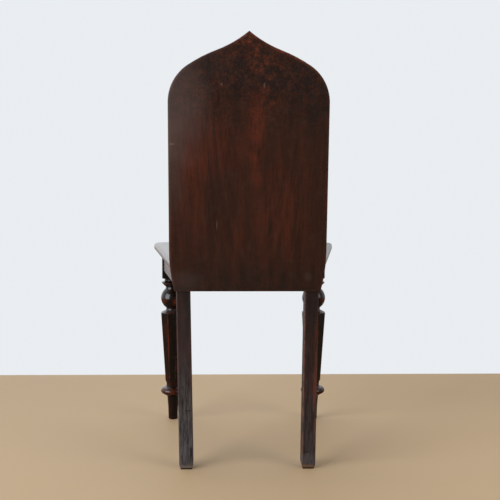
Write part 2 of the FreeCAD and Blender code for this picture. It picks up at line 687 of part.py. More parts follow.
def other_side(places):
    """The same screws on the other side of the chair."""
    flipped = []
    for place in places:
        head = vector(-place.head.x, place.head.y, place.head.z)
        direction = vector(-place.direction.x, place.direction.y, place.direction.z)
        flipped.append(place._replace(head=head, direction=direction))
    return flipped


def screw_body(place, gap):
    """A screw's head, shank and point, or with a gap the hole for them."""
    direction = place.direction
    shank_radius = SCREW_SHANK_RADIUS + gap
    shank_start = place.head + direction * SCREW_HEAD_DEPTH
    shank_length = place.length - SCREW_HEAD_DEPTH - SCREW_POINT_LENGTH
    point_start = shank_start + direction * shank_length
    head = Part.makeCone(SCREW_HEAD_RADIUS + gap, shank_radius, SCREW_HEAD_DEPTH, place.head, direction)
    shank = Part.makeCylinder(shank_radius, shank_length, shank_start, direction)
    point = Part.makeCone(shank_radius, gap, SCREW_POINT_LENGTH + gap, point_start, direction)
    return head.fuse([shank, point]).removeSplitter()


def screw(place):
    """One slotted wood screw."""
    side = place.direction.cross(vector(1, 0, 0) if place.direction.dot(UP) > 0 else UP)
    half = place.direction.cross(side) * (SCREW_SLOT_WIDTH / 2)
    reach = side * (2 * SCREW_HEAD_RADIUS)
    centre = place.head - place.direction * CUT_OVERRUN
    corners = [centre - reach - half, centre + reach - half, centre + reach + half, centre - reach + half]
    slot = polygon_face(corners).extrude(place.direction * (CUT_OVERRUN + SCREW_SLOT_DEPTH))
    return screw_body(place, 0).cut(slot)


def drilled(shape, places):
    """A piece with the holes and driver pockets of the screws that reach it."""
    for place in places:
        hole = screw_body(place, HOLE_GAP)
        outwards = place.direction * -1
        access = Part.makeCylinder(place.access_radius, place.access_length, place.head, outwards)
        if shape.common(hole).Volume > 0:
            shape = shape.cut([hole, access])
    return shape


def screws(places):
    """A set of screws as separate solids of one group."""
    return Part.makeCompound([screw(place) for place in places])


def chair_nodes():
    """Every piece of the chair under its node's name."""
    nodes = {
        "back_panel": back_panel(),
        "seat_board": seat_board(),
        "front_rail": front_rail(),
        "back_rail": back_rail(),
        "seat_screws": screws(seat_screws()),
        "back_screws": screws(back_screws()),
        "brace_screws": screws(brace_screws()),
    }
    pairs = {
        "side_rail": side_rail(),
        "front_leg": front_leg(),
        "rear_leg": rear_leg(),
        "front_corner_brace": front_brace(),
        "rear_corner_brace": rear_brace(),
        "front_glue_block": front_glue_block(),
        "side_glue_block_front": side_glue_block(True),
        "side_glue_block_rear": side_glue_block(False),
    }
    for name, left in pairs.items():
        nodes[name + "_left"] = left
        nodes[name + "_right"] = mirrored(left)
    return nodes


os.makedirs("parts", exist_ok=True)
for node, shape in chair_nodes().items():
    shape.exportStep("parts/" + node + ".step")
    print(node, "solids", len(shape.Solids), "valid", shape.isValid(), "volume", round(shape.Volume))
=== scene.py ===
import logging
import math
from collections.abc import Sequence
from dataclasses import dataclass, field
from enum import Enum

import bmesh
import bpy
from mathutils import Matrix, Vector


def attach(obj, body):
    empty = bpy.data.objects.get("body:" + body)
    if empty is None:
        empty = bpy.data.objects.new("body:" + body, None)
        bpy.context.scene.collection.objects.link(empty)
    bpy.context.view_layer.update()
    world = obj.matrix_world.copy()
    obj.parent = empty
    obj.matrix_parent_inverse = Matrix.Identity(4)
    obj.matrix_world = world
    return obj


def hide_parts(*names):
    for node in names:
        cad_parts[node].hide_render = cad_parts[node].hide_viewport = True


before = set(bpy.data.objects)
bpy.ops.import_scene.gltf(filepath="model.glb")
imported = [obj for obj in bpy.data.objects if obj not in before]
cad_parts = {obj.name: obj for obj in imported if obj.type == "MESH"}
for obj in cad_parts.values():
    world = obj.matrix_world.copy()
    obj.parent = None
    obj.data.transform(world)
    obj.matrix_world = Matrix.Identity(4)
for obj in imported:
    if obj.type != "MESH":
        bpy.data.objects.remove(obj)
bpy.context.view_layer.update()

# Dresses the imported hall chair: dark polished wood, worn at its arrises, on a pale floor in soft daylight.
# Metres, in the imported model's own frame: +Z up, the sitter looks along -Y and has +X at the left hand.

log = logging.getLogger("hall_chair")

Point = tuple[float, float]
Place = tuple[float, float, float]
Colour = tuple[float, float, float]
Span = tuple[float, float]

MM = 0.001
PEN_WIDTH = 1 * MM
WELD = 0.01 * MM
PANEL_GAP = 0.1 * MM
REAR_Y = 0.2
REAR_REACH = 0.5
SMOOTH_ANGLE = math.radians(32)


class Side(Enum):
    """The two sides of the chair, by the sign of X."""

    LEFT = 1
    RIGHT = -1

    @property
    def word(self) -> str:
        """The side as it is written in the nodes' names."""
        return self.name.lower()


class Grain(Enum):
    """The direction in which a board's fibres run, as the turn that lays them along Z."""

    ALONG_X = (0.0, math.pi / 2, 0.0)
    ALONG_Y = (math.pi / 2, 0.0, 0.0)
    ALONG_Z = (0.0, 0.0, 0.0)


def srgb(red: int, green: int, blue: int) -> Colour:
    """Turns a colour as it is seen into the linear one that a shader takes.

    Args:
        red: red, 0 to 255.
        green: green, 0 to 255.
        blue: blue, 0 to 255.

    Returns:
        The linear colour.
    """
    def linear(value: float) -> float:
        """One channel, by the standard curve."""
        return value / 12.92 if value <= 0.04045 else ((value + 0.055) / 1.055) ** 2.4

    return linear(red / 255), linear(green / 255), linear(blue / 255)


def deselect_all() -> None:
    """Leaves edit mode and clears the selection."""
    if bpy.context.object and bpy.context.object.mode != "OBJECT":
        bpy.ops.object.mode_set(mode="OBJECT")
    bpy.ops.object.select_all(action="DESELECT")


def pick(piece: bpy.types.Object) -> None:
    """Makes a piece the only selected and the active one.

    Args:
        piece: the piece to work on.
    """
    deselect_all()
    piece.select_set(True)
    bpy.context.view_layer.objects.active = piece


@dataclass(frozen=True)
class Chair:
    """The sizes and places that several pieces share, as in the solids.

    The slopes of the back and of the seat's sides give every other place.
    """

    overall_height: float = 942 * MM
    seat_height: float = 449 * MM
    seat_depth: float = 383 * MM
    seat_front_width: float = 457 * MM
    seat_rear_inset: float = 1.5 * MM
    seat_thickness: float = 20 * MM
    seat_front_overhang: float = 13 * MM
    panel_width: float = 340.5 * MM
    panel_thickness: float = 22 * MM
    rake: float = math.radians(5)
    rail_height: float = 42 * MM
    rail_overhang: float = 18 * MM

    @property
    def seat_underside(self) -> float:
        """Height of the seat board's lower face."""
        return self.seat_height - self.seat_thickness

    @property
    def rail_bottom(self) -> float:
        """Height of the rails' lower edges, where the panel ends too."""
        return self.seat_underside - self.rail_height

    @property
    def face_y_at_seat(self) -> float:
        """Y of the panel's front face where the seat meets it.

        Returns:
            The place that sets the chair's depth evenly about the origin.
        """
        rise = self.overall_height - self.seat_height
        head = rise * math.tan(self.rake) + self.panel_thickness * math.cos(self.rake)
        return (self.seat_depth - head) / 2

    @property
    def seat_front_y(self) -> float:
        """Y of the seat's front edge."""
        return self.face_y_at_seat - self.seat_depth

    @property
    def side_slope(self) -> float:
        """How much the seat narrows on one side for each metre towards the back."""
        rear_width = self.panel_width - 2 * self.seat_rear_inset
        return (self.seat_front_width - rear_width) / 2 / self.seat_depth

    @property
    def side_angle(self) -> float:
        """The angle of the seat's sides to straight ahead."""
        return math.atan(self.side_slope)

    def seat_side_x(self, y: float) -> float:
        """X of the seat's left edge at a Y."""
        return self.seat_front_width / 2 - (y - self.seat_front_y) * self.side_slope

    def rail_side_x(self, y: float) -> float:
        """X of the left side rail's outer face at a Y."""
        return self.seat_side_x(y) - self.rail_overhang / math.cos(self.side_angle)

    def face_y(self, height: float) -> float:
        """Y of the panel's front face at a height."""
        return self.face_y_at_seat + (height - self.seat_height) * math.tan(self.rake)


SHAPE = Chair()


@dataclass(frozen=True)
class Plane:
    """A plane to draw in: where it starts, and which ways are right, up and deeper."""

    origin: Vector
    right: Vector
    up: Vector
    deeper: Vector

    def place(self, point: Point, depth: float) -> Vector:
        """The point in space for a point of the drawing.

        Args:
            point: how far right and up.
            depth: how deep.

        Returns:
            The point in the chair's frame.
        """
        return self.origin + self.right * point[0] + self.up * point[1] + self.deeper * depth


LEVEL = Plane(Vector((0, 0, 0)), Vector((1, 0, 0)), Vector((0, 1, 0)), Vector((0, 0, 1)))


def polar(centre: Point, radius: float, angle: float) -> Point:
    """A point on a circle.

    Args:
        centre: the circle's centre.
        radius: its radius.
        angle: the point's angle, from the right and towards up.

    Returns:
        The point.
    """
    return centre[0] + radius * math.cos(angle), centre[1] + radius * math.sin(angle)


def arc_through(start: Point, middle: Point, end: Point) -> tuple[Point, float]:
    """The arc from one point through a second to a third.

    Args:
        start: where it starts.
        middle: a point on it.
        end: where it ends.

    Returns:
        Its centre and the angle that it turns, positive from right towards up.
    """
    (ax, ay), (bx, by), (cx, cy) = start, middle, end
    scale = 2 * (ax * (by - cy) + bx * (cy - ay) + cx * (ay - by))
    a, b, c = ax * ax + ay * ay, bx * bx + by * by, cx * cx + cy * cy
    x = (a * (by - cy) + b * (cy - ay) + c * (ay - by)) / scale
    y = (a * (cx - bx) + b * (ax - cx) + c * (bx - ax)) / scale
    first = math.atan2(ay - y, ax - x)
    half = (math.atan2(by - y, bx - x) - first + math.pi) % math.tau - math.pi
    whole = (math.atan2(cy - y, cx - x) - first) % math.tau
    return (x, y), whole if half > 0 else whole - math.tau


@dataclass(frozen=True)
class Bend:
    """How a row's corners are rounded, and how worn they and the flats beside them are."""

    radius: float
    steps: int = 3
    strip: float = 3 * MM
    worn: float = 1.0
    plain: float = 0.0


class Drawing:
    """A piece that starts as drawn rows of runs and arcs.

    Each vertex keeps the number of its row, and how much it is rubbed in the attribute worn.
    """

    def __init__(self, name: str, plane: Plane) -> None:
        """Starts an empty piece.

        Args:
            name: the piece's name.
            plane: the plane that its rows are drawn in.
        """
        deselect_all()
        bpy.ops.mesh.primitive_plane_add(size=PEN_WIDTH)
        self.piece = bpy.context.object
        self.piece.name = name
        self.piece.data.name = name
        self.plane = plane
        self.rows = 0
        self.depth = 0.0
        self.pen: Point = (0.0, 0.0)
        bpy.ops.object.mode_set(mode="EDIT")
        bpy.ops.mesh.delete(type="VERT")

        # A new layer makes those fetched before it invalid, so both are made here
        layers = bmesh.from_edit_mesh(self.piece.data).verts.layers
        layers.int.new("row")
        layers.float.new("worn")

    def mark(self, worn: float) -> None:
        """Gives the selected vertices this row's number and a degree of wear.

        Args:
            worn: 0 for untouched, 1 for the most rubbed.
        """
        mesh = bmesh.from_edit_mesh(self.piece.data)
        row = mesh.verts.layers.int.get("row")
        wear = mesh.verts.layers.float.get("worn")
        for vertex in mesh.verts:
            if vertex.select:
                vertex[row] = self.rows
                vertex[wear] = worn

    def row(self, start: Point, depth: float, worn: float) -> None:
        """Puts the pen down at the first point of a new row.

        Args:
            start: the first point.
            depth: the row's depth.
            worn: the wear there.
        """
        self.rows += 1
        self.depth = depth
        self.pen = start
        bpy.ops.mesh.primitive_plane_add(size=PEN_WIDTH, location=self.plane.place(start, depth))
        bpy.ops.mesh.merge(type="CENTER")
        self.mark(worn)

    def run(self, end: Point, worn: float, steps: int = 1) -> None:
        """Draws a straight run.

        Args:
            end: where it ends.
            worn: the wear of its new vertices.
            steps: how many edges it has.
        """
        whole = self.plane.place(end, self.depth) - self.plane.place(self.pen, self.depth)
        for _ in range(steps):
            bpy.ops.mesh.extrude_region_move(TRANSFORM_OT_translate={"value": whole / steps})
            self.mark(worn)
        self.pen = end

    def arc(self, centre: Point, turn: float, steps: int) -> None:
        """Draws an arc, with the wear of the point it starts from.

        Args:
            centre: the arc's centre.
            turn: the angle that it turns, positive from right towards up.
            steps: how many edges it has.
        """
        bpy.ops.mesh.spin(
            steps=steps,
            angle=-turn,
            center=self.plane.place(centre, self.depth),
            axis=self.plane.right.cross(self.plane.up),
        )
        offset = (self.pen[0] - centre[0], self.pen[1] - centre[1])
        self.pen = polar(centre, math.hypot(*offset), math.atan2(offset[1], offset[0]) + turn)

    def rounded(self, corners: Sequence[Point], depth: float, bend: Bend) -> None:
        """Draws a closed row with rounded corners, each with a fresh strip of wood beside it.

        Args:
            corners: the corners, in the turn from right to up.
            depth: the row's depth.
            bend: how the corners are rounded and worn.
        """
        count = len(corners)
        points = [Vector(corner) for corner in corners]
        ways = [(points[(k + 1) % count] - points[k]).normalized() for k in range(count)]
        turns = [ways[k - 1].angle_signed(ways[k]) * -1 for k in range(count)]
        backs = [bend.radius * math.tan(turn / 2) for turn in turns]
        start = points[-1] + ways[-1] * backs[-1]
        self.row(tuple(start), depth, bend.worn)
        for k in range(count):
            way = ways[k - 1]
            end = points[k] - way * backs[k]
            strip = min(bend.strip, (end - Vector(self.pen)).length / 3)
            self.run(tuple(Vector(self.pen) + way * strip), bend.plain)
            self.run(tuple(end - way * strip), bend.plain)
            self.run(tuple(end), bend.worn)
            centre = end + Vector((-way.y, way.x)) * bend.radius
            self.arc(tuple(centre), turns[k], bend.steps)

    def select_rows(self, rows: Sequence[int]) -> None:
        """Selects the edges that run along some rows.

        Args:
            rows: the rows' numbers.
        """
        bpy.ops.mesh.select_mode(type="EDGE")
        bpy.ops.mesh.select_all(action="DESELECT")
        mesh = bmesh.from_edit_mesh(self.piece.data)
        layer = mesh.verts.layers.int.get("row")
        for edge in mesh.edges:
            first, last = (vertex[layer] for vertex in edge.verts)
            edge.select_set(first == last and first in rows)
        bmesh.update_edit_mesh(self.piece.data)

    def bridge(self) -> None:
        """Bridges each row to the next."""
        bpy.ops.mesh.select_mode(type="VERT")
        bpy.ops.mesh.select_all(action="SELECT")
        bpy.ops.mesh.remove_doubles(threshold=WELD)
        for number in range(1, self.rows):
            self.select_rows((number, number + 1))
            bpy.ops.mesh.bridge_edge_loops()

    def mirror(self) -> None:
        """Adds the other half, across the chair's middle plane."""
        bpy.ops.object.mode_set(mode="OBJECT")
        modifier = self.piece.modifiers.new("other_half", "MIRROR")
        modifier.merge_threshold = WELD
        bpy.ops.object.modifier_apply(modifier=modifier.name)
        bpy.ops.object.mode_set(mode="EDIT")

    def turn(self, axis: Vector, steps: int) -> None:
        """Turns the drawn profile once round an upright axis.

        Args:
            axis: a point on the axis.
            steps: how many faces go round.
        """
        bpy.ops.mesh.select_all(action="SELECT")
        bpy.ops.mesh.spin(steps=steps, angle=math.tau, center=axis, axis=(0, 0, 1))
        bpy.ops.mesh.select_all(action="SELECT")
        bpy.ops.mesh.remove_doubles(threshold=WELD)

    def finish(self) -> bpy.types.Object:
        """Closes the ends, turns the faces outwards and smooths what is round.

        Returns:
            The finished piece.
        """
        bpy.ops.mesh.select_mode(type="VERT")
        bpy.ops.mesh.select_all(action="SELECT")
        bpy.ops.mesh.fill_holes(sides=0)
        bpy.ops.mesh.select_all(action="SELECT")
        bpy.ops.mesh.normals_make_consistent(inside=False)
        bpy.ops.object.mode_set(mode="OBJECT")
        bpy.ops.object.shade_smooth_by_angle(angle=SMOOTH_ANGLE)
        return self.piece


def common(piece: bpy.types.Object, envelope: bpy.types.Object) -> bpy.types.Object:
    """Keeps what a piece has in common with an envelope, which is used up.

    Args:
        piece: the piece to trim.
        envelope: the shape to trim it to.

    Returns:
        The trimmed piece.
    """
    pick(piece)
    modifier = piece.modifiers.new("trim", "BOOLEAN")
    modifier.operation = "INTERSECT"
    modifier.object = envelope
    bpy.ops.object.modifier_apply(modifier=modifier.name)
    bpy.data.objects.remove(envelope)
    bpy.ops.object.shade_smooth_by_angle(angle=SMOOTH_ANGLE)
    return piece


def joined(name: str, pieces: Sequence[bpy.types.Object]) -> bpy.types.Object:
    """Joins finished shells into one piece.

    Args:
        name: the piece's name.
        pieces: the shells.

    Returns:
        The piece.
    """
    pick(pieces[0])
    for piece in pieces[1:]:
        piece.select_set(True)
    bpy.ops.object.join()
    pieces[0].name = name
    pieces[0].data.name = name
    return pieces[0]


def other_side(piece: bpy.types.Object, name: str) -> bpy.types.Object:
    """Copies a left piece to the right side, with a mesh of its own.

    Args:
        piece: the left piece.
        name: the right piece's name.

    Returns:
        The right piece.
    """
    pick(piece)
    bpy.ops.object.duplicate()
    copy = bpy.context.object
    copy.name = name
    copy.data.name = name
    bpy.ops.object.mode_set(mode="EDIT")
    bpy.ops.mesh.select_all(action="SELECT")
    bpy.ops.transform.resize(value=(-1, 1, 1), center_override=(0, 0, 0))
    bpy.ops.mesh.flip_normals()
    bpy.ops.object.mode_set(mode="OBJECT")
    return copy


class Value:
    """A shader value that Python sums can use. Each sum adds its Math node."""

    def __init__(self, recipe: "Recipe", socket: bpy.types.NodeSocket) -> None:
        """Wraps a socket.

        Args:
            recipe: the recipe that it belongs to.
            socket: the output socket.
        """
        self.recipe = recipe
        self.socket = socket

    def maths(self, operation: str, other: "Value | float", clamp: bool = False) -> "Value":
        """Adds a Math node.

        Args:
            operation: the node's operation.
            other: the value after this one.
            clamp: whether the result is held between 0 and 1.

        Returns:
            The result.
        """
        settings = {"operation": operation, "use_clamp": clamp}
        return self.recipe.add("ShaderNodeMath", settings, {0: self, 1: other})

    def __add__(self, other: "Value | float") -> "Value":
        """The sum of the two."""
        return self.maths("ADD", other)

    __radd__ = __add__

    def __mul__(self, other: "Value | float") -> "Value":
        """The product of the two."""
        return self.maths("MULTIPLY", other)

    __rmul__ = __mul__

    def __sub__(self, other: "Value | float") -> "Value":
        """This value less the other."""
        return self.maths("SUBTRACT", other)

    def __rsub__(self, other: float) -> "Value":
        """A number less this value."""
        return self * -1.0 + other

    def __pow__(self, other: float) -> "Value":
        """This value to a power."""
        return self.maths("POWER", other)

    def held(self) -> "Value":
        """The value held between 0 and 1."""
        return self.maths("ADD", 0.0, clamp=True)

    def swing(self, weight: float) -> "Value":
        """How far a pattern is from its middle, a half, times a weight."""
        return (self - 0.5) * weight

    def between(self, low: float, high: float) -> "Value":
        """How far the value has come from one bound to another, smoothly, from 0 to 1.

        Args:
            low: where it is 0.
            high: where it is 1.

        Returns:
            The smooth step.
        """
        return self.recipe.add("ShaderNodeMapRange", {"interpolation_type": "SMOOTHSTEP"}, {
            "Value": self, "From Min": min(low, high), "From Max": max(low, high),
            "To Min": float(low > high), "To Max": float(low < high),
        }, "Result")


@dataclass(frozen=True)
class Pattern:
    """A soft noise from about 0 to 1.

    It has so many lumps to a metre, finer layers of some strength, and may be drawn out along Z.
    """

    scale: float
    detail: float = 3.0
    roughness: float = 0.55
    stretch: float = 1.0


class Recipe:
    """Shader nodes in the making."""

    def __init__(self, tree: bpy.types.NodeTree) -> None:
        """Starts with an empty tree.

        Args:
            tree: the tree of a material or of the world.
        """
        self.tree = tree
        self.tree.nodes.clear()

    def plug(self, socket: bpy.types.NodeSocket, value: "Value | float | Colour") -> None:
        """Links a varying value to a socket, or sets it to a plain one.

        Args:
            socket: the input socket.
            value: a number, a colour or a varying value.
        """
        if isinstance(value, Value):
            self.tree.links.new(value.socket, socket)
        elif socket.type == "RGBA":
            socket.default_value = (*value, 1.0)
        else:
            socket.default_value = value

    def node(self, kind: str, settings: dict, inputs: dict) -> bpy.types.Node:
        """Adds any node.

        Args:
            kind: the node's type.
            settings: its properties, set first.
            inputs: its sockets' values or links, by name or number.

        Returns:
            The node.
        """
        node = self.tree.nodes.new(kind)
        for name, setting in settings.items():
            setattr(node, name, setting)
        for name, value in inputs.items():
            self.plug(node.inputs[name], value)
        return node

    def add(self, kind: str, settings: dict, inputs: dict, output: str | int = 0) -> Value:
        """Adds any node, as above, and reads one of its outputs."""
        return Value(self, self.node(kind, settings, inputs).outputs[output])

    def place(self) -> Value:
        """The point on the piece, in the chair's frame."""
        return self.add("ShaderNodeTexCoord", {}, {}, "Object")

    def turned(self, grain: Grain) -> Value:
        """The point on the piece, turned so that the grain lies along Z."""
        settings = {"vector_type": "POINT"}
        return self.add("ShaderNodeMapping", settings, {"Vector": self.place(), "Rotation": grain.value})

    def noise(self, pattern: Pattern, point: Value) -> Value:
        """Reads a pattern at a point, as round lumps.

        Args:
            pattern: the pattern.
            point: the point.

        Returns:
            The noise.
        """
        return self.add("ShaderNodeTexNoise", {}, {
            "Vector": point, "Scale": pattern.scale, "Detail": pattern.detail, "Roughness": pattern.roughness,
        }, "Fac")

    def drawn(self, pattern: Pattern, point: Value, shift: Place) -> Value:
        """Reads a pattern at a point, drawn out along the grain.

        Args:
            pattern: the pattern.
            point: the point, with the grain along Z.
            shift: how far the pattern is moved, so that boards differ.

        Returns:
            The noise.
        """
        moved = self.add("ShaderNodeMapping", {"vector_type": "POINT"}, {
            "Vector": point, "Location": shift, "Scale": (1.0, 1.0, 1 / pattern.stretch),
        })
        return self.noise(pattern, moved)

    def vector(self, operation: str, inputs: dict, output: str | int = 0) -> Value:
        """Adds a Vector Math node."""
        return self.add("ShaderNodeVectorMath", {"operation": operation}, inputs, output)

    def mix(self, amount: "Value | float", first: "Value | Colour", second: "Value | Colour",
            blend: str = "MIX") -> Value:
        """Mixes two colours.

        Args:
            amount: how much of the second there is.
            first: the first colour.
            second: the second colour.
            blend: the way of mixing.

        Returns:
            The mixed colour.
        """
        node = self.node("ShaderNodeMix", {"data_type": "RGBA", "blend_type": blend}, {0: amount})

        # The node also has sockets for the other types of data, which stay unused
        sockets = [socket for socket in node.inputs if socket.type == "RGBA"]
        for socket, colour in zip(sockets, (first, second)):
            self.plug(socket, colour)
        return Value(self, next(socket for socket in node.outputs if socket.type == "RGBA"))

    def split(self, point: Value) -> tuple[Value, Value, Value]:
        """The three coordinates of a point."""
        node = self.node("ShaderNodeSeparateXYZ", {}, {0: point})
        return tuple(Value(self, socket) for socket in node.outputs)


class Finish(Recipe):
    """A material in the making, with one shader to feed."""

    def __init__(self, name: str) -> None:
        """Starts a material with a bare shader.

        Args:
            name: the material's name.
        """
        self.material = bpy.data.materials.new(name)
        self.material.use_nodes = True
        super().__init__(self.material.node_tree)
        self.shader = self.node("ShaderNodeBsdfPrincipled", {}, {})
        self.node("ShaderNodeOutputMaterial", {}, {"Surface": Value(self, self.shader.outputs[0])})

    def feed(self, name: str, value: "Value | float | Colour") -> None:
        """Sets or links one of the shader's own sockets, by its name."""
        self.plug(self.shader.inputs[name], value)

    def emboss(self, height: Value, depth: float, strength: float) -> None:
        """Feeds the shader a bumpy normal.

        Args:
            height: the surface's height, between about 0 and 1.
            depth: how deep a height of 1 is.
            strength: how strongly it shows.
        """
        inputs = {"Height": height, "Distance": depth, "Strength": strength}
        self.feed("Normal", self.add("ShaderNodeBump", {}, inputs, "Normal"))


@dataclass(frozen=True)
class Patch:
    """A place where the polish has changed, or where light or shade is painted, by its centre and its reach
    each way.
    """

    centre: Place
    reach: Place
    strength: float = 1.0
    raggedness: float = 0.9

    RAGGED = Pattern(24.0, 4.0)
    FADE = (1.0, 0.2)

    def mask(self, recipe: Recipe) -> Value:
        """How strongly the patch shows at each point.

        Args:
            recipe: the material in the making.

        Returns:
            Its strength, from 0 to 1.
        """
        centred = recipe.add("ShaderNodeMapping", {"vector_type": "TEXTURE"}, {
            "Vector": recipe.place(), "Location": self.centre, "Scale": self.reach,
        })
        distance = recipe.vector("LENGTH", {0: centred}, "Value")
        if self.raggedness:
            distance = distance + recipe.noise(self.RAGGED, recipe.place()).swing(self.raggedness)
        return distance.between(*self.FADE) * self.strength


def on_rear(x: float, z: float, wide: float, high: float, strength: float = 1.0,
            raggedness: float = 0.9) -> Patch:
    """A patch on a rear face, which reaches through to any depth.

    Args:
        x: its centre's X.
        z: its centre's height.
        wide: its reach to each side.
        high: its reach up and down.
        strength: how strongly it shows.
        raggedness: how uneven its edge is.

    Returns:
        The patch.
    """
    return Patch((x, REAR_Y, z), (wide, REAR_REACH, high), strength, raggedness)


@dataclass(frozen=True)
class Log:
    """How a board lay in its log: where the heart was, and how it drifts for each metre along."""

    heart: Point
    drift: Point = (0.0, 0.0)
    rings: float = 140.0


@dataclass(frozen=True)
class Grounds:
    """The values that the steps of one finish share."""

    place: Value
    turned: Value
    height: Value
    streak: Value
    fibre: Value
    fine: Value
    pores: Value
    bands: Value
    blotch: Value
    worn: Value
    chance: Value


@dataclass(frozen=True)
class PolishedWood:
    """Old dark mahogany under wax and worn polish."""

    name: str
    grain: Grain
    log: Log
    shift: Place = (0.0, 0.0, 0.0)
    dark: Colour = srgb(37, 17, 8)
    middle: Colour = srgb(58, 27, 13)
    red: Colour = srgb(92, 36, 17)
    pore: Colour = srgb(16, 9, 7)
    rubbed: Colour = srgb(124, 62, 32)
    rust: Colour = srgb(95, 43, 19)
    # This colour is real bloom and scuffing, and also a painted sheen where the haze patches lie.
    haze_and_sheen: Colour = srgb(88, 76, 73)
    # This colour is real dark varnish, and also painted shade where the shadow patches lie.
    old_varnish_and_shade: Colour = srgb(28, 18, 15)
    nick: Colour = srgb(120, 106, 98)
    bare: Colour = srgb(146, 120, 96)
    figure: float = 0.45
    relief: float = 0.45
    shine: float = 0.36
    polish: float = 0.3
    specular: float = 0.24
    coat_roughness: float = 0.14
    rubbing: float = 0.35
    scuff: float = 0.0
    bare_foot: float = 0.0
    varnish_from: float = 0.0
    rear_only: bool = False
    # Haze patches are partly real bloom and marks, partly a painted sheen.
    hazes_and_sheens: tuple[Patch, ...] = ()
    # Glow patches are the wood's own warm tone on the back, and painted warm reflections on the legs.
    glows_and_reflections: tuple[Patch, ...] = ()
    rusts: tuple[Patch, ...] = ()
    rims: tuple[Patch, ...] = ()
    nicks: tuple[Patch, ...] = ()
    # Shadow patches are partly dark varnish and partly painted shade.
    shadows: tuple[Patch, ...] = ()
    dents: tuple[Patch, ...] = ()

    # Patterns of the wood itself, drawn out along the grain
    STREAKS = Pattern(46.0, 4.0, 0.6, 16.0)
    FIBRES = Pattern(800.0, stretch=40.0)
    FINE = Pattern(230.0, 3.0, 0.65, 30.0)
    PORES = Pattern(1500.0, 1.0, stretch=20.0)
    WANDER = Pattern(7.0, 2.0, stretch=5.0)
    DINGS = Pattern(120.0, 2.0, stretch=5.0)
    RING_DETAIL = 4.0
    RING_ROUGHNESS = 0.6
    RING_WANDER = (0.035, 0.02)

    # Patterns of the polish and the wear, which follow no grain
    BLOTCHES = Pattern(13.0, 4.0, 0.6)
    CHANCE = Pattern(48.0, 4.0, 0.65)
    BLOOM = Pattern(60.0)
    SMEARS = Pattern(34.0, 4.0, 0.6)
    VARNISH_PATCHES = Pattern(26.0)
    BROAD_MOTTLE = Pattern(52.0, 3.0, 0.6)
    MOTTLE = Pattern(125.0, 3.0, 0.6)
    OTHER_MOTTLE = Pattern(150.0, 3.0, 0.6)
    OTHER_SHIFT = (0.4, 0.7, 0.1)
    CRACK_WANDER = 0.006
    CRACK_WANDER_SCALE = 90.0
    CRACK_SCALE = 165.0

    # Bounds between which a pattern comes from nothing to its whole
    PORE_BOUNDS = (0.58, 0.70)
    CHANCE_BOUNDS = (0.36, 0.66)
    TONE_BOUNDS = (0.1, 0.9)
    LIT_BOUNDS = (0.45, 0.85)
    WARM_BOUNDS = (0.50, 0.68)
    BLOTCH_BOUNDS = (0.35, 0.75)
    PATCH_BOUNDS = (0.38, 0.62)
    STAIN_BOUNDS = (0.42, 0.62)
    LIFTED_BOUNDS = (0.38, 0.32)
    CRACK_BOUNDS = (0.0, 0.16)
    BLOOM_BOUNDS = (0.45, 0.8)
    DING_BOUNDS = (0.66, 0.74)

    # How much each pattern counts in the wood's tone and its glow
    STREAK_TONE = 0.85
    FINE_TONE = 0.75
    FIBRE_TONE = 0.4
    BAND_LIGHT = 0.5
    FINE_LIGHT = 0.5
    STREAK_LIGHT = 0.4

    # How strongly each layer shows
    WARMTH = 0.2
    PORE_STRENGTH = 0.5
    BLOTCH_STRENGTH = 0.25
    SHADOW_STRENGTH = 0.6
    DARK_PATCHES = 0.45
    RED_PATCHES = 0.25
    STAIN_LEAST = 0.4
    STAIN_RANGE = 0.45
    RUST_LEAST = 0.1
    RUST_RANGE = 0.75
    FINE_SHARE = 0.4
    LIFTED_STRENGTH = 0.14
    SPECKLE = 1.5
    SPECKLE_LEVEL = 0.96
    CRACK_STRENGTH = 0.45
    CHANCE_LEAST = 0.15
    RIM_STRENGTH = 0.8
    BLOOM_STRENGTH = 0.06
    HAZE_AND_SHEEN_STRENGTH = 0.75
    DING_STRENGTH = 0.6
    BARE_STRENGTH = 0.8
    # How dark the painted contact shadow under a foot is.
    DIRT_AND_SHADE_STRENGTH = 0.97

    # How the scuffs follow the grain and the arrises
    SCUFF_FINE = 4.2
    SCUFF_FIBRE = 1.2
    SCUFF_WORN = 0.2
    SCUFF_LEVEL = 0.66

    # What the layers do to the gloss and to the relief
    SMEAR_ROUGHNESS = 0.14
    HAZE_ROUGHNESS = 0.2
    RUBBED_GLOSS = 0.06
    HAZE_DULLING = 0.8
    COAT_IOR = 1.38
    FIBRE_RELIEF = 0.25
    PORE_RELIEF = 0.5
    VARNISH_RELIEF = 0.45
    DENT_RELIEF = 1.5
    RELIEF_DEPTH = 0.3 * MM

    # Heights on the piece, and depths from the middle of the panel
    VARNISH_FADE = 0.16
    SCUFF_TOP = 0.3
    FOOT_RAGGED = 3 * MM
    FOOT_WHOLE_SHARE = 0.7
    # Heights over which the painted contact shadow under a foot fades in.
    FOOT_CONTACT_SHADE = (3.4 * MM, 2.4 * MM)
    REAR_DEPTHS = (-1 * MM, 3 * MM)

    def total(self, finish: Finish, patches: Sequence[Patch]) -> Value | float:
        """The sum of some patches.

        Args:
            finish: the material in the making.
            patches: the patches.

        Returns:
            Their strength, from 0 to 1.
        """
        if not patches:
            return 0.0
        first, *others = (patch.mask(finish) for patch in patches)
        whole = sum(others, first)
        if self.rear_only:
            _, y, z = finish.split(finish.place())
            middle = SHAPE.face_y(0.0) + SHAPE.panel_thickness / 2
            bounds = (middle + depth for depth in self.REAR_DEPTHS)
            whole = whole * (y - z * math.tan(SHAPE.rake)).between(*bounds)
        return whole.held()

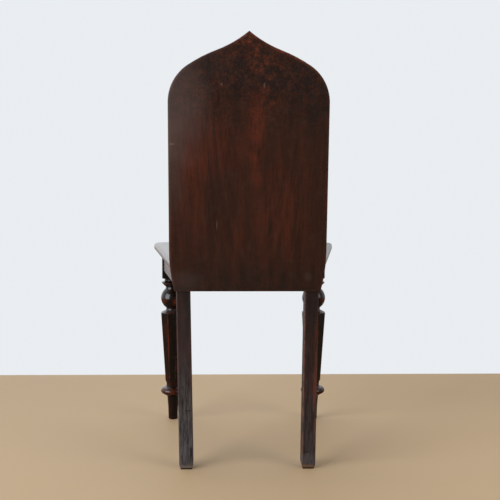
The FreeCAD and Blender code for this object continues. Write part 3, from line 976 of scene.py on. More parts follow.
    def grounds(self, finish: Finish) -> Grounds:
        """Makes the values that several steps share.

        Args:
            finish: the material in the making.

        Returns:
            The values.
        """
        place = finish.place()
        turned = finish.turned(self.grain)
        return Grounds(
            place=place,
            turned=turned,
            height=finish.split(place)[2],
            streak=finish.drawn(self.STREAKS, turned, self.shift),
            fibre=finish.drawn(self.FIBRES, turned, self.shift),
            fine=finish.drawn(self.FINE, turned, self.shift),
            pores=finish.drawn(self.PORES, turned, self.shift).between(*self.PORE_BOUNDS),
            bands=self.bands(finish, turned),
            blotch=finish.noise(self.BLOTCHES, place),
            worn=finish.add("ShaderNodeAttribute", {"attribute_name": "worn"}, {}, "Fac"),
            chance=self.chance(finish.noise(self.CHANCE, place)),
        )

    def chance(self, noise: Value) -> Value:
        """How likely wear is at each point, and at least a little."""
        return noise.between(*self.CHANCE_BOUNDS) * (1 - self.CHANCE_LEAST) + self.CHANCE_LEAST

    def bands(self, finish: Finish, turned: Value) -> Value:
        """The growth rings that the board's faces cut through.

        Args:
            finish: the material in the making.
            turned: the point, with the grain along Z.

        Returns:
            How light the ring is, from about 0 to 1.
        """
        x, y, z = finish.split(turned)
        wander = finish.drawn(self.WANDER, turned, self.shift)
        across = x - self.log.heart[0] - z * self.log.drift[0] + wander.swing(self.RING_WANDER[0])
        through = y - self.log.heart[1] - z * self.log.drift[1] + wander.swing(self.RING_WANDER[1])
        return finish.add("ShaderNodeTexNoise", {"noise_dimensions": "1D"}, {
            "W": (across * across + through * through) ** 0.5,
            "Scale": self.log.rings, "Detail": self.RING_DETAIL, "Roughness": self.RING_ROUGHNESS,
        }, "Fac")

    def wood(self, finish: Finish, grounds: Grounds) -> Value:
        """The colour of the wood under clear polish, with warm patches that on the legs are painted
        reflections.

        Args:
            finish: the material in the making.
            grounds: the values that the steps share.

        Returns:
            The colour.
        """
        bands, streak, fine, blotch = grounds.bands, grounds.streak, grounds.fine, grounds.blotch
        tone = bands.swing(self.figure) + streak.swing(self.STREAK_TONE) + fine.swing(self.FINE_TONE)
        tone = tone + grounds.fibre.swing(self.FIBRE_TONE) + 0.5
        colour = finish.mix(tone.between(*self.TONE_BOUNDS), self.dark, self.middle)
        light = bands * self.BAND_LIGHT + fine * self.FINE_LIGHT + streak * self.STREAK_LIGHT
        # Warmth from the glow patches: on the legs it is a painted reflection.
        glow_and_reflection = self.total(finish, self.glows_and_reflections) * light.between(*self.LIT_BOUNDS)
        warmth = ((streak + blotch) * 0.5).between(*self.WARM_BOUNDS) * self.WARMTH + glow_and_reflection
        colour = finish.mix(warmth.held(), colour, self.red)
        colour = finish.mix(grounds.pores * self.PORE_STRENGTH, colour, self.pore)
        return finish.mix(blotch.between(*self.BLOTCH_BOUNDS) * self.BLOTCH_STRENGTH, colour, self.dark)

    def varnished(self, finish: Finish, grounds: Grounds, colour: Value) -> tuple[Value, Value | float]:
        """Covers the wood with old varnish: mottled and cracked towards the top, with dark varnish and
        painted shade in places.

        Args:
            finish: the material in the making.
            grounds: the values that the steps share.
            colour: the wood's colour.

        Returns:
            The colour and the height of the varnish, which is 0 in a crack.
        """
        # The shadow patches darken towards the old-varnish colour: painted shade in places, dark varnish in
        # others.
        shadows = self.total(finish, self.shadows)
        if not self.varnish_from:
            # Without old varnish, the shadow patches are painted shade.
            return finish.mix(shadows * self.SHADOW_STRENGTH, colour, self.old_varnish_and_shade), 1.0
        old = grounds.height.between(self.varnish_from, self.varnish_from + self.VARNISH_FADE)
        mottle = finish.noise(self.MOTTLE, grounds.place)
        other = finish.drawn(self.OTHER_MOTTLE, grounds.place, self.OTHER_SHIFT)
        broad = finish.noise(self.BROAD_MOTTLE, grounds.place)
        patchy = finish.noise(self.VARNISH_PATCHES, grounds.place).between(*self.PATCH_BOUNDS) * old
        darkened = (patchy * self.DARK_PATCHES + shadows).held()
        reddened = (patchy * self.RED_PATCHES + self.total(finish, self.rusts)).held()
        fine, wide = self.FINE_SHARE, 1 - self.FINE_SHARE
        stained = (other * fine + (1 - broad) * wide).between(*self.STAIN_BOUNDS)
        rusted = (mottle * fine + broad * wide).between(*self.STAIN_BOUNDS)
        stain_and_shade = (stained * self.STAIN_RANGE + self.STAIN_LEAST) * darkened
        rust = (rusted * self.RUST_RANGE + self.RUST_LEAST) * reddened
        lifted = other.between(*self.LIFTED_BOUNDS) * patchy
        colour = finish.mix(stain_and_shade, colour, self.old_varnish_and_shade)
        colour = finish.mix(rust, colour, self.rust)
        colour = finish.mix(lifted * self.LIFTED_STRENGTH, colour, self.haze_and_sheen)
        speckle = mottle.swing(self.SPECKLE) + other.swing(self.SPECKLE) + self.SPECKLE_LEVEL
        colour = finish.mix(old, colour, speckle, "MULTIPLY")
        cracks = (1 - self.crazing(finish, grounds.place)) * old
        return finish.mix(cracks * self.CRACK_STRENGTH, colour, self.pore), 1 - cracks

    def crazing(self, finish: Finish, place: Value) -> Value:
        """Fine cracks in old varnish: 0 in a crack and 1 between them.

        Args:
            finish: the material in the making.
            place: the point on the piece.

        Returns:
            The height of the varnish.
        """
        colours = finish.add(
            "ShaderNodeTexNoise", {}, {"Vector": place, "Scale": self.CRACK_WANDER_SCALE}, "Color",
        )
        push = finish.vector("SCALE", {0: colours, "Scale": self.CRACK_WANDER})
        cells = {"Vector": finish.vector("ADD", {0: place, 1: push}), "Scale": self.CRACK_SCALE}
        edge = finish.add("ShaderNodeTexVoronoi", {"feature": "DISTANCE_TO_EDGE"}, cells, "Distance")
        return edge.between(*self.CRACK_BOUNDS)

    def dulled_and_sheened(self, finish: Finish, grounds: Grounds) -> Value:
        """How much haze and scuffing lies on the polish, and how much painted sheen.

        Args:
            finish: the material in the making.
            grounds: the values that the steps share.

        Returns:
            The haze, scuffing and painted sheen, from 0 to 1.
        """
        bloom = finish.noise(self.BLOOM, grounds.place).between(*self.BLOOM_BOUNDS)
        # The haze patches include a painted sheen.
        haze_and_sheen = bloom * self.BLOOM_STRENGTH + self.total(finish, self.hazes_and_sheens)
        if self.scuff:
            low = grounds.height.between(self.SCUFF_TOP, 0.0)
            marks = grounds.fine.swing(self.SCUFF_FINE) + grounds.fibre.swing(self.SCUFF_FIBRE)
            marks = marks + grounds.worn * self.SCUFF_WORN + self.SCUFF_LEVEL
            haze_and_sheen = haze_and_sheen + low * marks * self.scuff
        return haze_and_sheen.held()

    def dented(self, finish: Finish, grounds: Grounds) -> Value:
        """The dents in a knocked piece, from 0 to 1."""
        dings = finish.drawn(self.DINGS, grounds.turned, self.shift).between(*self.DING_BOUNDS)
        return (self.total(finish, self.dents) + dings * self.DING_STRENGTH).held()

    def footed(self, finish: Finish, grounds: Grounds, colour: Value) -> Value:
        """Bares the end of a foot, and paints a dark contact shadow where it meets the floor.

        Args:
            finish: the material in the making.
            grounds: the values that the steps share.
            colour: the colour above the foot.

        Returns:
            The colour.
        """
        ragged = grounds.height + grounds.chance.swing(self.FOOT_RAGGED)
        end = ragged.between(self.bare_foot, self.bare_foot * self.FOOT_WHOLE_SHARE)
        colour = finish.mix(end * self.BARE_STRENGTH, colour, self.bare)
        # A painted contact shadow along the bottom of the foot.
        dirt_and_shade = grounds.height.between(*self.FOOT_CONTACT_SHADE)
        return finish.mix(dirt_and_shade * self.DIRT_AND_SHADE_STRENGTH, colour, self.pore)

    def build(self) -> bpy.types.Material:
        """Makes the material.

        Returns:
            The material.
        """
        finish = Finish(self.name)
        grounds = self.grounds(finish)
        colour, varnish = self.varnished(finish, grounds, self.wood(finish, grounds))
        rims = self.total(finish, self.rims) * self.RIM_STRENGTH + self.rubbing
        rubbed = (grounds.worn * grounds.chance * rims).held()
        colour = finish.mix(rubbed, colour, self.rubbed)
        haze_and_sheen = self.dulled_and_sheened(finish, grounds)
        # Lays on the haze, and the painted sheen of the haze patches.
        colour = finish.mix(haze_and_sheen * self.HAZE_AND_SHEEN_STRENGTH, colour, self.haze_and_sheen)
        surface = grounds.fibre * self.FIBRE_RELIEF - grounds.pores * self.PORE_RELIEF
        surface = surface + varnish * self.VARNISH_RELIEF
        if self.nicks:
            colour = finish.mix(self.total(finish, self.nicks), colour, self.nick)
        if self.dents:
            dents = self.dented(finish, grounds)
            colour = finish.mix(dents, colour, self.pore)
            surface = surface - dents * self.DENT_RELIEF
        if self.bare_foot:
            colour = self.footed(finish, grounds, colour)
        smears = finish.noise(self.SMEARS, grounds.place) * self.SMEAR_ROUGHNESS
        gloss = rubbed * self.RUBBED_GLOSS
        finish.feed("Base Color", colour)
        finish.feed("Roughness", (smears + self.shine + haze_and_sheen * self.HAZE_ROUGHNESS - gloss).held())
        finish.feed("Specular IOR Level", self.specular)
        finish.feed("Coat Weight", ((1 - haze_and_sheen * self.HAZE_DULLING) * self.polish).held())
        finish.feed("Coat Roughness", self.coat_roughness)
        finish.feed("Coat IOR", self.COAT_IOR)
        finish.emboss(surface, self.RELIEF_DEPTH, self.relief)
        return finish.material


@dataclass(frozen=True)
class BareWood:
    """Unpolished softwood inside the seat frame, darkened by age and dust."""

    name: str
    grain: Grain
    pale: Colour = srgb(150, 112, 74)
    brown: Colour = srgb(98, 66, 40)
    dust: Colour = srgb(120, 108, 92)

    FIGURE = Pattern(70.0, 4.0, stretch=16.0)
    FIBRES = Pattern(700.0, stretch=30.0)
    DIRT = Pattern(24.0, 4.0, 0.65)
    FIGURE_SHIFT = (0.0, 0.0, 0.0)
    FIBRE_SHIFT = (0.3, 0.1, 0.0)
    FIGURE_SHARE = 0.7
    TONE_BOUNDS = (0.35, 0.65)
    DIRT_BOUNDS = (0.45, 0.75)
    DIRT_AND_SHADE_STRENGTH = 0.5
    LEAST_ROUGHNESS = 0.68
    FIBRE_ROUGHNESS = 0.2
    RELIEF = 0.6
    RELIEF_DEPTH = 0.4 * MM

    def build(self) -> bpy.types.Material:
        """Makes the material.

        Returns:
            The material.
        """
        finish = Finish(self.name)
        turned = finish.turned(self.grain)
        figure = finish.drawn(self.FIGURE, turned, self.FIGURE_SHIFT)
        fibre = finish.drawn(self.FIBRES, turned, self.FIBRE_SHIFT)
        dirt_and_shade = finish.noise(self.DIRT, finish.place())
        tone = figure * self.FIGURE_SHARE + fibre * (1 - self.FIGURE_SHARE)
        colour = finish.mix(tone.between(*self.TONE_BOUNDS), self.brown, self.pale)
        dusty = dirt_and_shade.between(*self.DIRT_BOUNDS) * self.DIRT_AND_SHADE_STRENGTH
        finish.feed("Base Color", finish.mix(dusty, colour, self.dust))
        finish.feed("Roughness", (fibre * self.FIBRE_ROUGHNESS + self.LEAST_ROUGHNESS).held())
        finish.emboss(fibre + dirt_and_shade * self.DIRT_AND_SHADE_STRENGTH, self.RELIEF_DEPTH, self.RELIEF)
        return finish.material


@dataclass(frozen=True)
class OldSteel:
    """Dull screw steel, browned by rust."""

    name: str
    steel: Colour = srgb(96, 90, 86)
    rust: Colour = srgb(92, 52, 32)

    SPOTS = Pattern(420.0, 4.0, 0.65)
    RUST_BOUNDS = (0.42, 0.60)
    RUST_COVER = 0.85
    STEEL_ROUGHNESS = 0.38
    RUST_ROUGHNESS = 0.4
    RELIEF = 0.5
    RELIEF_DEPTH = 0.1 * MM

    def build(self) -> bpy.types.Material:
        """Makes the material.

        Returns:
            The material.
        """
        finish = Finish(self.name)
        spots = finish.noise(self.SPOTS, finish.place())
        rust = spots.between(*self.RUST_BOUNDS)
        finish.feed("Base Color", finish.mix(rust, self.steel, self.rust))
        finish.feed("Metallic", (1 - rust * self.RUST_COVER).held())
        finish.feed("Roughness", (rust * self.RUST_ROUGHNESS + self.STEEL_ROUGHNESS).held())
        finish.emboss(spots, self.RELIEF_DEPTH, self.RELIEF)
        return finish.material


def hand_over(piece: bpy.types.Object, material: bpy.types.Material, node: str) -> None:
    """Dresses a new piece and lets it stand for its node.

    Args:
        piece: the new piece.
        material: its material.
        node: the node that it stands for.
    """
    piece.data.materials.clear()
    piece.data.materials.append(material)
    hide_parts(node)
    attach(piece, "root")
    log.info("%s stands for %s with %d faces", piece.name, node, len(piece.data.polygons))


def dress(node: bpy.types.Object, material: bpy.types.Material) -> None:
    """Gives a node that keeps its solid a material by its slots.

    Args:
        node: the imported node.
        material: its material.
    """
    for slot in node.material_slots:
        slot.material = material
    log.info("%s keeps its solid, in %s", node.name, material.name)


def hand_over_pair(left: bpy.types.Object, right_name: str, finishes: dict[Side, PolishedWood],
                   node: str) -> None:
    """Copies a left leg to the right, dresses both and lets them stand for their nodes.

    Args:
        left: the left leg.
        right_name: the right leg's name.
        finishes: each side's finish.
        node: the nodes' name without its side.
    """
    right = other_side(left, right_name)
    for side, piece in ((Side.LEFT, left), (Side.RIGHT, right)):
        hand_over(piece, finishes[side].build(), f"{node}_{side.word}")


@dataclass(frozen=True)
class Contour:
    """One row of an outline: how far it is set in, how deep or high it lies, and how worn it is.

    A row of the seat's flat faces is set in from the rear edge too.
    """

    inset: float
    depth: float
    worn: float
    in_field: bool = False
    rear_inset: float = 0.0


@dataclass
class Back:
    """The solid back with its ogee head, curved-in foot and sunk field."""

    shoulder_radius: float = 92.5 * MM
    shoulder_turn: float = math.radians(56.5)
    brow_radius: float = 308 * MM
    brow_turn: float = math.radians(69.3)
    hollow_radius: float = 240 * MM
    foot_radius: float = 360 * MM
    foot_height: float = 90 * MM
    field_border: float = 30 * MM
    field_step: float = 5 * MM
    field_step_depth: float = 1.8 * MM
    field_depth: float = 3.6 * MM
    field_above_seat: float = 52 * MM
    arris: float = 2 * MM
    strip: float = 5 * MM
    step_round: float = 0.6 * MM
    step_drop: float = 0.5 * MM
    foot_edges: int = 4
    curve_edges: int = 6
    side_edges: int = 8
    least_edges: int = 2
    edge_turn: float = math.radians(3)

    def plane(self) -> Plane:
        """The back's front face, from its foot.

        Returns:
            The plane.
        """
        rake = SHAPE.rake
        foot = Vector((0, SHAPE.face_y(SHAPE.rail_bottom), SHAPE.rail_bottom))
        up = Vector((0, math.sin(rake), math.cos(rake)))
        deeper = Vector((0, math.cos(rake), -math.sin(rake)))
        return Plane(foot, Vector((1, 0, 0)), up, deeper)

    def head(self, inset: float) -> list[tuple[Point, float, float, float]]:
        """The head's three arcs above its springing line.

        Args:
            inset: how far they are set in from the edge.

        Returns:
            Each arc's centre, radius, first angle and last angle.
        """
        shoulder = (SHAPE.panel_width / 2 - self.shoulder_radius, 0.0)
        brow = polar(shoulder, self.shoulder_radius - self.brow_radius, self.shoulder_turn)
        hollow = polar(brow, self.brow_radius + self.hollow_radius, self.brow_turn)
        reach = self.hollow_radius + inset
        tip = math.acos(-hollow[0] / reach)
        return [
            (shoulder, self.shoulder_radius - inset, 0.0, self.shoulder_turn),
            (brow, self.brow_radius - inset, self.shoulder_turn, self.brow_turn),
            (hollow, reach, self.brow_turn - math.pi, -tip),
        ]

    def springing(self) -> float:
        """How far up the face the head begins.

        Returns:
            The distance from the back's foot.
        """
        hollow, reach, _, end = self.head(0.0)[-1]
        apex = (SHAPE.overall_height - SHAPE.rail_bottom) / math.cos(SHAPE.rake)
        return apex - polar(hollow, reach, end)[1]

    def draw(self, drawing: Drawing, contour: Contour) -> None:
        """Draws one half of a row, from the middle of the foot round to the apex.

        Args:
            drawing: the back in the making.
            contour: the row.
        """
        inset, depth, worn = contour.inset, contour.depth, contour.worn
        side = SHAPE.panel_width / 2 - inset

        # A row of the field has as many edges as the others, so that all rows bridge evenly
        if contour.in_field:
            above = SHAPE.seat_height + self.field_above_seat - SHAPE.rail_bottom
            low = (above + inset) / math.cos(SHAPE.rake)
            drawing.row((0.0, low), depth, worn)
            drawing.run((side, low), worn, self.foot_edges)
            drawing.run((side, low + self.strip), worn, self.curve_edges)
        else:
            low = depth * math.tan(SHAPE.rake) + max(0.0, inset - self.arris)
            radius = self.foot_radius - inset
            angle = math.asin((self.foot_height - low) / radius)
            centre = (SHAPE.panel_width / 2 - self.foot_radius, self.foot_height)
            drawing.row((0.0, low), depth, worn)
            drawing.run(polar(centre, radius, -angle), worn, self.foot_edges)
            drawing.arc(centre, angle, self.curve_edges)
        springing = self.springing()
        drawing.run((side, springing), worn, self.side_edges)
        for (x, y), _, first, last in self.head(inset):
            steps = max(self.least_edges, round(abs(last - first) / self.edge_turn))
            drawing.arc((x, y + springing), last - first, steps)

    def contours(self) -> list[Contour]:
        """The rows from the middle of the rear face, over the edge, to the bottom of the field.

        Returns:
            The rows.
        """
        thick = SHAPE.panel_thickness
        arris, strip = self.arris, self.arris + self.strip
        eased = arris * (1 - math.sqrt(0.5))
        border, step = self.field_border, self.field_border + self.field_step
        first, second, drop = self.field_step_depth, self.field_depth, self.step_drop
        rear = [
            Contour(strip * 2, thick, 0.0),
            Contour(strip, thick, 0.0),
            Contour(arris, thick, 0.7),
            Contour(eased, thick - eased, 1.0),
            Contour(0.0, thick - arris, 0.8),
            Contour(0.0, thick - strip, 0.1),
        ]
        front = [Contour(row.inset, thick - row.depth, row.worn) for row in reversed(rear[1:])]
        field_rows = [
            Contour(border - self.field_step, 0.0, 0.0, True),
            Contour(border - self.step_round, 0.0, 0.6, True),
            Contour(border, drop, 0.8, True),
            Contour(border, first, 0.0, True),
            Contour(step - self.step_round, first, 0.3, True),
            Contour(step, first + drop, 0.5, True),
            Contour(step, second, 0.0, True),
            Contour(step + (second - first) * 2, second, 0.0, True),
        ]
        return rear + front + field_rows

    def make(self, finish: PolishedWood) -> None:
        """Models and dresses the back.

        Args:
            finish: its finish.
        """
        drawing = Drawing("ogee_back", self.plane())
        for contour in self.contours():
            self.draw(drawing, contour)
        drawing.bridge()
        drawing.mirror()
        hand_over(drawing.finish(), finish.build(), "back_panel")


@dataclass
class Seat:
    """The tapered seat board with its rounded front corners and nosed edge."""

    corner_radius: float = 26 * MM
    top_round: float = 6 * MM
    under_chamfer: float = 7 * MM
    chamfer_round: float = 0.5 * MM
    strip: float = 5 * MM
    edge_count: int = 4
    side_edges: int = 6
    corner_edges: int = 12
    nose_edges: int = 5

    def draw(self, drawing: Drawing, contour: Contour) -> None:
        """Draws one half of a row, from the middle of the rear edge round to the middle of the front.

        Args:
            drawing: the seat in the making.
            contour: the row.
        """
        inset, height, worn = contour.inset, contour.depth, contour.worn
        angle = SHAPE.side_angle
        rear = SHAPE.face_y(height) - PANEL_GAP - contour.rear_inset
        shift = inset / math.cos(angle)
        corner_y = SHAPE.seat_front_y + self.corner_radius
        centre = (SHAPE.seat_side_x(corner_y) - self.corner_radius / math.cos(angle), corner_y)
        drawing.row((0.0, rear), height, worn)
        drawing.run((SHAPE.seat_side_x(rear) - shift, rear), worn, self.edge_count)
        drawing.run(polar(centre, self.corner_radius - inset, angle), worn, self.side_edges)
        drawing.arc(centre, -math.pi / 2 - angle, self.corner_edges)
        drawing.run((0.0, SHAPE.seat_front_y + inset), worn, self.edge_count)

    def contours(self) -> list[Contour]:
        """The rows from the underside, over the edge, to the top.

        Returns:
            The rows.
        """
        low, high = SHAPE.seat_underside, SHAPE.seat_height
        chamfer, eased = self.under_chamfer, self.chamfer_round
        near, far = self.strip, self.strip * 3
        rows = [
            Contour(chamfer + near, low, 0.0, rear_inset=near),
            Contour(chamfer, low, 0.2),
            Contour(eased, low + chamfer - eased, 0.2),
            Contour(0.0, low + chamfer + eased, 0.3),
        ]
        for edge in range(self.nose_edges + 1):
            turn = math.pi / 2 * edge / self.nose_edges
            inset = self.top_round * (1 - math.cos(turn))
            height = high - self.top_round * (1 - math.sin(turn))
            rows.append(Contour(inset, height, 0.5 + 0.5 * math.sin(2 * turn)))
        rows.append(Contour(self.top_round + near, high, 0.1, rear_inset=near))
        rows.append(Contour(self.top_round + far, high, 0.0, rear_inset=far))
        return rows

    def make(self, finish: PolishedWood) -> None:
        """Models and dresses the seat.

        Args:
            finish: its finish.
        """
        drawing = Drawing("nosed_seat", LEVEL)
        for contour in self.contours():
            self.draw(drawing, contour)
        drawing.bridge()
        drawing.mirror()
        hand_over(drawing.finish(), finish.build(), "seat_board")


@dataclass(frozen=True)
class Member:
    """One member of a turning: its name, end radius, length and wear.

    A member with a belly is an arc through that radius, at a share of its length.
    """

    name: str
    radius: float
    length: float
    worn: float = 0.0
    belly: float = 0.0
    belly_share: float = 0.5


@dataclass
class FrontLegs:
    """The turned and faceted front legs: block, collar, ball, taper, ring and peg foot."""

    leg_inset: float = 43.9 * MM
    block_size: float = 58 * MM
    block_length: float = 65.4 * MM
    block_step: float = 3.4 * MM
    block_cone: float = 3.2 * MM
    block_strip: float = 8 * MM
    block_bend: Bend = Bend(1.2 * MM, worn=0.3)
    neck_radius: float = 19.3 * MM
    taper_top: float = 57 * MM
    taper_end: float = 37 * MM
    taper_end_length: float = 8 * MM
    taper_bend: Bend = Bend(1.3 * MM, steps=2, strip=2.5 * MM, worn=0.9)
    taper_rows: int = 9
    crown: float = 4 * MM
    cove_radius: float = 21.5 * MM
    ankle_radius: float = 16.2 * MM
    sole_radius: float = 10.2 * MM
    faces_round: int = 64
    facets: int = 8
    envelope_worn: float = 0.5
    envelope_clear: float = 0.05 * MM
    straight_edges: int = 2
    least_edges: int = 6
    edge_turn: float = math.radians(9)
    axis: Vector = field(init=False)

    def __post_init__(self) -> None:
        """Finds the left leg's axis."""
        y = SHAPE.seat_front_y + SHAPE.seat_front_overhang + self.block_size / 2
        self.axis = Vector((SHAPE.seat_side_x(y) - self.leg_inset, y, 0))

    @property
    def block_bottom(self) -> float:
        """Height of the block's lower end."""
        return SHAPE.seat_underside - self.block_length

    def upper_members(self) -> list[Member]:
        """The members from the block down to the taper.

        Returns:
            The members.
        """
        return [
            Member("block neck", self.neck_radius, 7 * MM),
            Member("collar top", 27 * MM, 4 * MM, 0.1),
            Member("collar edge", 27 * MM, 1.6 * MM, 0.5),
            Member("collar underside", 16.7 * MM, 10.5 * MM),
            Member("upper neck", 17.6 * MM, 4.5 * MM),
            Member("ball", 17.6 * MM, 47 * MM, 0.05, belly=29 * MM),
            Member("ball foot", 16 * MM, 1 * MM, 0.1),
            Member("lower neck", 16 * MM, 3 * MM),
            Member("cove", self.cove_radius, 5.5 * MM, 0.1, belly=17.8 * MM, belly_share=0.67),
            Member("crown", self.cove_radius, self.crown, 0.1),
        ]

    def lower_members(self) -> list[Member]:
        """The members from the floor up to the taper.

        Returns:
            The members.
        """
        return [
            Member("peg end", 11.7 * MM, 1.5 * MM, 0.4),
            Member("lower peg", 12.3 * MM, 28.5 * MM),
            Member("upper peg", 14.4 * MM, 29.5 * MM),
            Member("ring underside", 24 * MM, 6.8 * MM, 0.1),
            Member("ring", 20 * MM, 15.7 * MM, 0.6, belly=30.3 * MM, belly_share=0.49),
            Member("ankle foot", self.ankle_radius, 3 * MM, 0.2),
            Member("ankle", self.ankle_radius, 7 * MM, 0.1),
        ]

    def profile_plane(self, heading: float) -> Plane:
        """The plane of a turned profile: out from the axis, at an angle to +X, and up."""
        out = Vector((math.cos(heading), math.sin(heading), 0))
        return Plane(self.axis, out, Vector((0, 0, 1)), Vector((-out.y, out.x, 0)))

    def turned(self, name: str, start: Point, sense: int, members: Sequence[Member]) -> bpy.types.Object:
        """Turns a stack of members.

        Args:
            name: the shell's name.
            start: the first radius and height.
            sense: 1 to stack upwards, -1 downwards.
            members: the members.

        Returns:
            The turned shell.
        """
        drawing = Drawing(name, self.profile_plane(0.0))
        radius, height = start
        drawing.row((0.0, height), 0.0, 0.0)
        drawing.run(start, members[0].worn)
        for member in members:
            end = (member.radius, height + sense * member.length)
            if member.belly:
                middle = (member.belly, height + sense * member.length * member.belly_share)
                centre, turn = arc_through((radius, height), middle, end)
                drawing.mark(member.worn)
                drawing.arc(centre, turn, max(self.least_edges, round(abs(turn) / self.edge_turn)))
            else:
                drawing.run(end, member.worn, self.straight_edges)
            radius, height = end
        drawing.run((0.0, height), 0.0)
        drawing.turn(self.axis, self.faces_round)
        log.info("%s is turned with %s", name, ", ".join(member.name for member in members))
        return drawing.finish()

    def envelope(self, name: str, points: Sequence[Point]) -> bpy.types.Object:
        """Turns a plain envelope through some points, for a shape to be trimmed to.

        Its edges lie half a face round from those directions in which such a shape has its own.

        Args:
            name: its name.
            points: the radius and height of each point.

        Returns:
            The envelope.
        """
        drawing = Drawing(name, self.profile_plane(math.pi / self.faces_round))
        drawing.row((0.0, points[0][1]), 0.0, 0.0)
        for point in (*points, (0.0, points[-1][1])):
            drawing.run(point, self.envelope_worn)
        drawing.turn(self.axis, self.faces_round)
        return drawing.finish()

    def block(self) -> bpy.types.Object:
        """The square block, trimmed to a step past the side rail and turned to a cone below.

        Returns:
            The block.
        """
        bottom = self.block_bottom
        half = self.block_size / 2
        front, back = self.axis.y - half, self.axis.y + half
        inner = self.axis.x - half
        outer = SHAPE.rail_side_x(back) + self.block_step
        corners = [(inner, front), (outer, front), (outer, back), (inner, back)]
        drawing = Drawing("leg_block", LEVEL)
        for height in (bottom - self.block_cone * 2, bottom + self.block_strip, SHAPE.seat_underside):
            drawing.rounded(corners, height, self.block_bend)
        drawing.bridge()
        block = drawing.finish()
        slope = self.block_cone / (half - self.neck_radius)
        envelope = self.envelope("block_envelope", [
            (self.neck_radius, bottom - self.block_cone),
            (self.block_size, bottom + half * slope),
            (self.block_size, SHAPE.seat_underside + half),
        ])
        return common(block, envelope)

    def taper(self, ankle: float, top: float) -> bpy.types.Object:
        """The faceted shaft.

        Its rows run past both ends of the envelope, whose rings keep clear of the flats: faces
        that only just touched would not be trimmed alike each time.

        Args:
            ankle: the height where it starts.
            top: the height of its widest place, below the crown.

        Returns:
            The shaft.
        """
        end = ankle + self.taper_end_length
        slope = (self.taper_top - self.taper_end) / (top - end)
        turns = [(2 * corner + 1) * math.pi / self.facets for corner in range(self.facets)]
        low, high = ankle - self.crown, top + self.crown * 2
        drawing = Drawing("leg_taper", LEVEL)
        for row in range(self.taper_rows):
            height = low + (high - low) * row / (self.taper_rows - 1)
            size = self.taper_top + (height - top) * slope
            reach = size / 2 / math.cos(math.pi / self.facets)
            corners = [polar((self.axis.x, self.axis.y), reach, turn) for turn in turns]
            drawing.rounded(corners, height, self.taper_bend)
        drawing.bridge()
        shaft = drawing.finish()
        envelope = self.envelope("taper_envelope", [
            (self.ankle_radius, ankle),
            (self.taper_end / 2 + self.envelope_clear, end),
            (self.taper_top, end + self.taper_top - self.taper_end / 2),
            (self.taper_top, top - self.crown),
            (self.taper_top / 2 + self.envelope_clear, top),
            (self.cove_radius, top + self.crown),
        ])
        return common(shaft, envelope)

    def make(self, finishes: dict[Side, PolishedWood]) -> None:
        """Models the left leg, copies it to the right and dresses both.

        Args:
            finishes: each side's finish.
        """
        upper, lower = self.upper_members(), self.lower_members()
        top = self.block_bottom - sum(member.length for member in upper)
        ankle = sum(member.length for member in lower)
        left = joined("turned_leg_left", [
            self.turned("upper_turning", (self.neck_radius, self.block_bottom), -1, upper),
            self.turned("lower_turning", (self.sole_radius, 0.0), 1, lower),
            self.taper(ankle, top),
            self.block(),
        ])
        hand_over_pair(left, "turned_leg_right", finishes, "front_leg")


@dataclass
class RearLegs:
    """The square rear legs, raked back and leaning in, with their posts inside the seat frame."""

    width: float = 30.5 * MM
    depth: float = 38 * MM
    inset: float = 14.5 * MM
    recess: float = 4 * MM
    kick: float = 44 * MM
    lean: float = 7.2 * MM
    arris: float = 1.8 * MM
    shaft_from: float = 12 * MM
    shaft_rows: int = 9
    post_lap: float = 1 * MM
    post_bend: Bend = Bend(0.6 * MM, worn=0.4)
    foot_rows: tuple[Contour, ...] = (
        Contour(2.8 * MM, 0.0, 0.8),
        Contour(2.3 * MM, 2 * MM, 0.8),
        Contour(0.4 * MM, 8.5 * MM, 0.8),
        Contour(0.0, 10 * MM, 0.5),
    )

    @property
    def inner_x(self) -> float:
        """X of the left leg's inner face at its shoulder."""
        return SHAPE.panel_width / 2 - self.inset - self.width

    def section(self, rise: float, inset: float) -> list[Point]:
        """The leg's corners at a height.

        Args:
            rise: the height.
            inset: how far they are worn in.

        Returns:
            The corners.
        """
        share = rise / SHAPE.rail_bottom
        x = self.inner_x - self.lean * (1 - share) + inset
        thick = SHAPE.panel_thickness / math.cos(SHAPE.rake)
        y = SHAPE.face_y(SHAPE.rail_bottom) + thick - self.recess + self.kick * (1 - share) - inset
        right, front = x + self.width - 2 * inset, y - self.depth + 2 * inset
        return [(x, front), (right, front), (right, y), (x, y)]

    def leg(self) -> bpy.types.Object:
        """The left leg from its worn foot up to its shoulder.

        Returns:
            The leg.
        """
        drawing = Drawing("square_leg", LEVEL)
        for row in self.foot_rows:
            section = self.section(row.depth, row.inset)
            drawing.rounded(section, row.depth, Bend(self.arris, plain=row.worn))
        shaft = SHAPE.rail_bottom - self.shaft_from
        for row in range(self.shaft_rows):
            height = self.shaft_from + shaft * row / (self.shaft_rows - 1)
            drawing.rounded(self.section(height, 0.0), height, Bend(self.arris))
        drawing.bridge()
        return drawing.finish()

    def post(self) -> bpy.types.Object:
        """The left leg's post between the rails.

        Returns:
            The post.
        """
        inner, outer = self.inner_x, self.inner_x + self.width
        front = self.section(SHAPE.rail_bottom, 0.0)[0][1]
        drawing = Drawing("square_post", LEVEL)
        for height in (SHAPE.rail_bottom - self.post_lap, SHAPE.seat_underside):
            back = SHAPE.face_y(height) - PANEL_GAP
            corners = [(inner, front), (outer, front), (outer, back), (inner, back)]
            drawing.rounded(corners, height, self.post_bend)
        drawing.bridge()
        return drawing.finish()

    def make(self, finishes: dict[Side, PolishedWood]) -> None:
        """Models the left leg, copies it to the right and dresses both.

        Args:
            finishes: each side's finish.
        """
        left = joined("raked_leg_left", [self.leg(), self.post()])
        hand_over_pair(left, "raked_leg_right", finishes, "rear_leg")


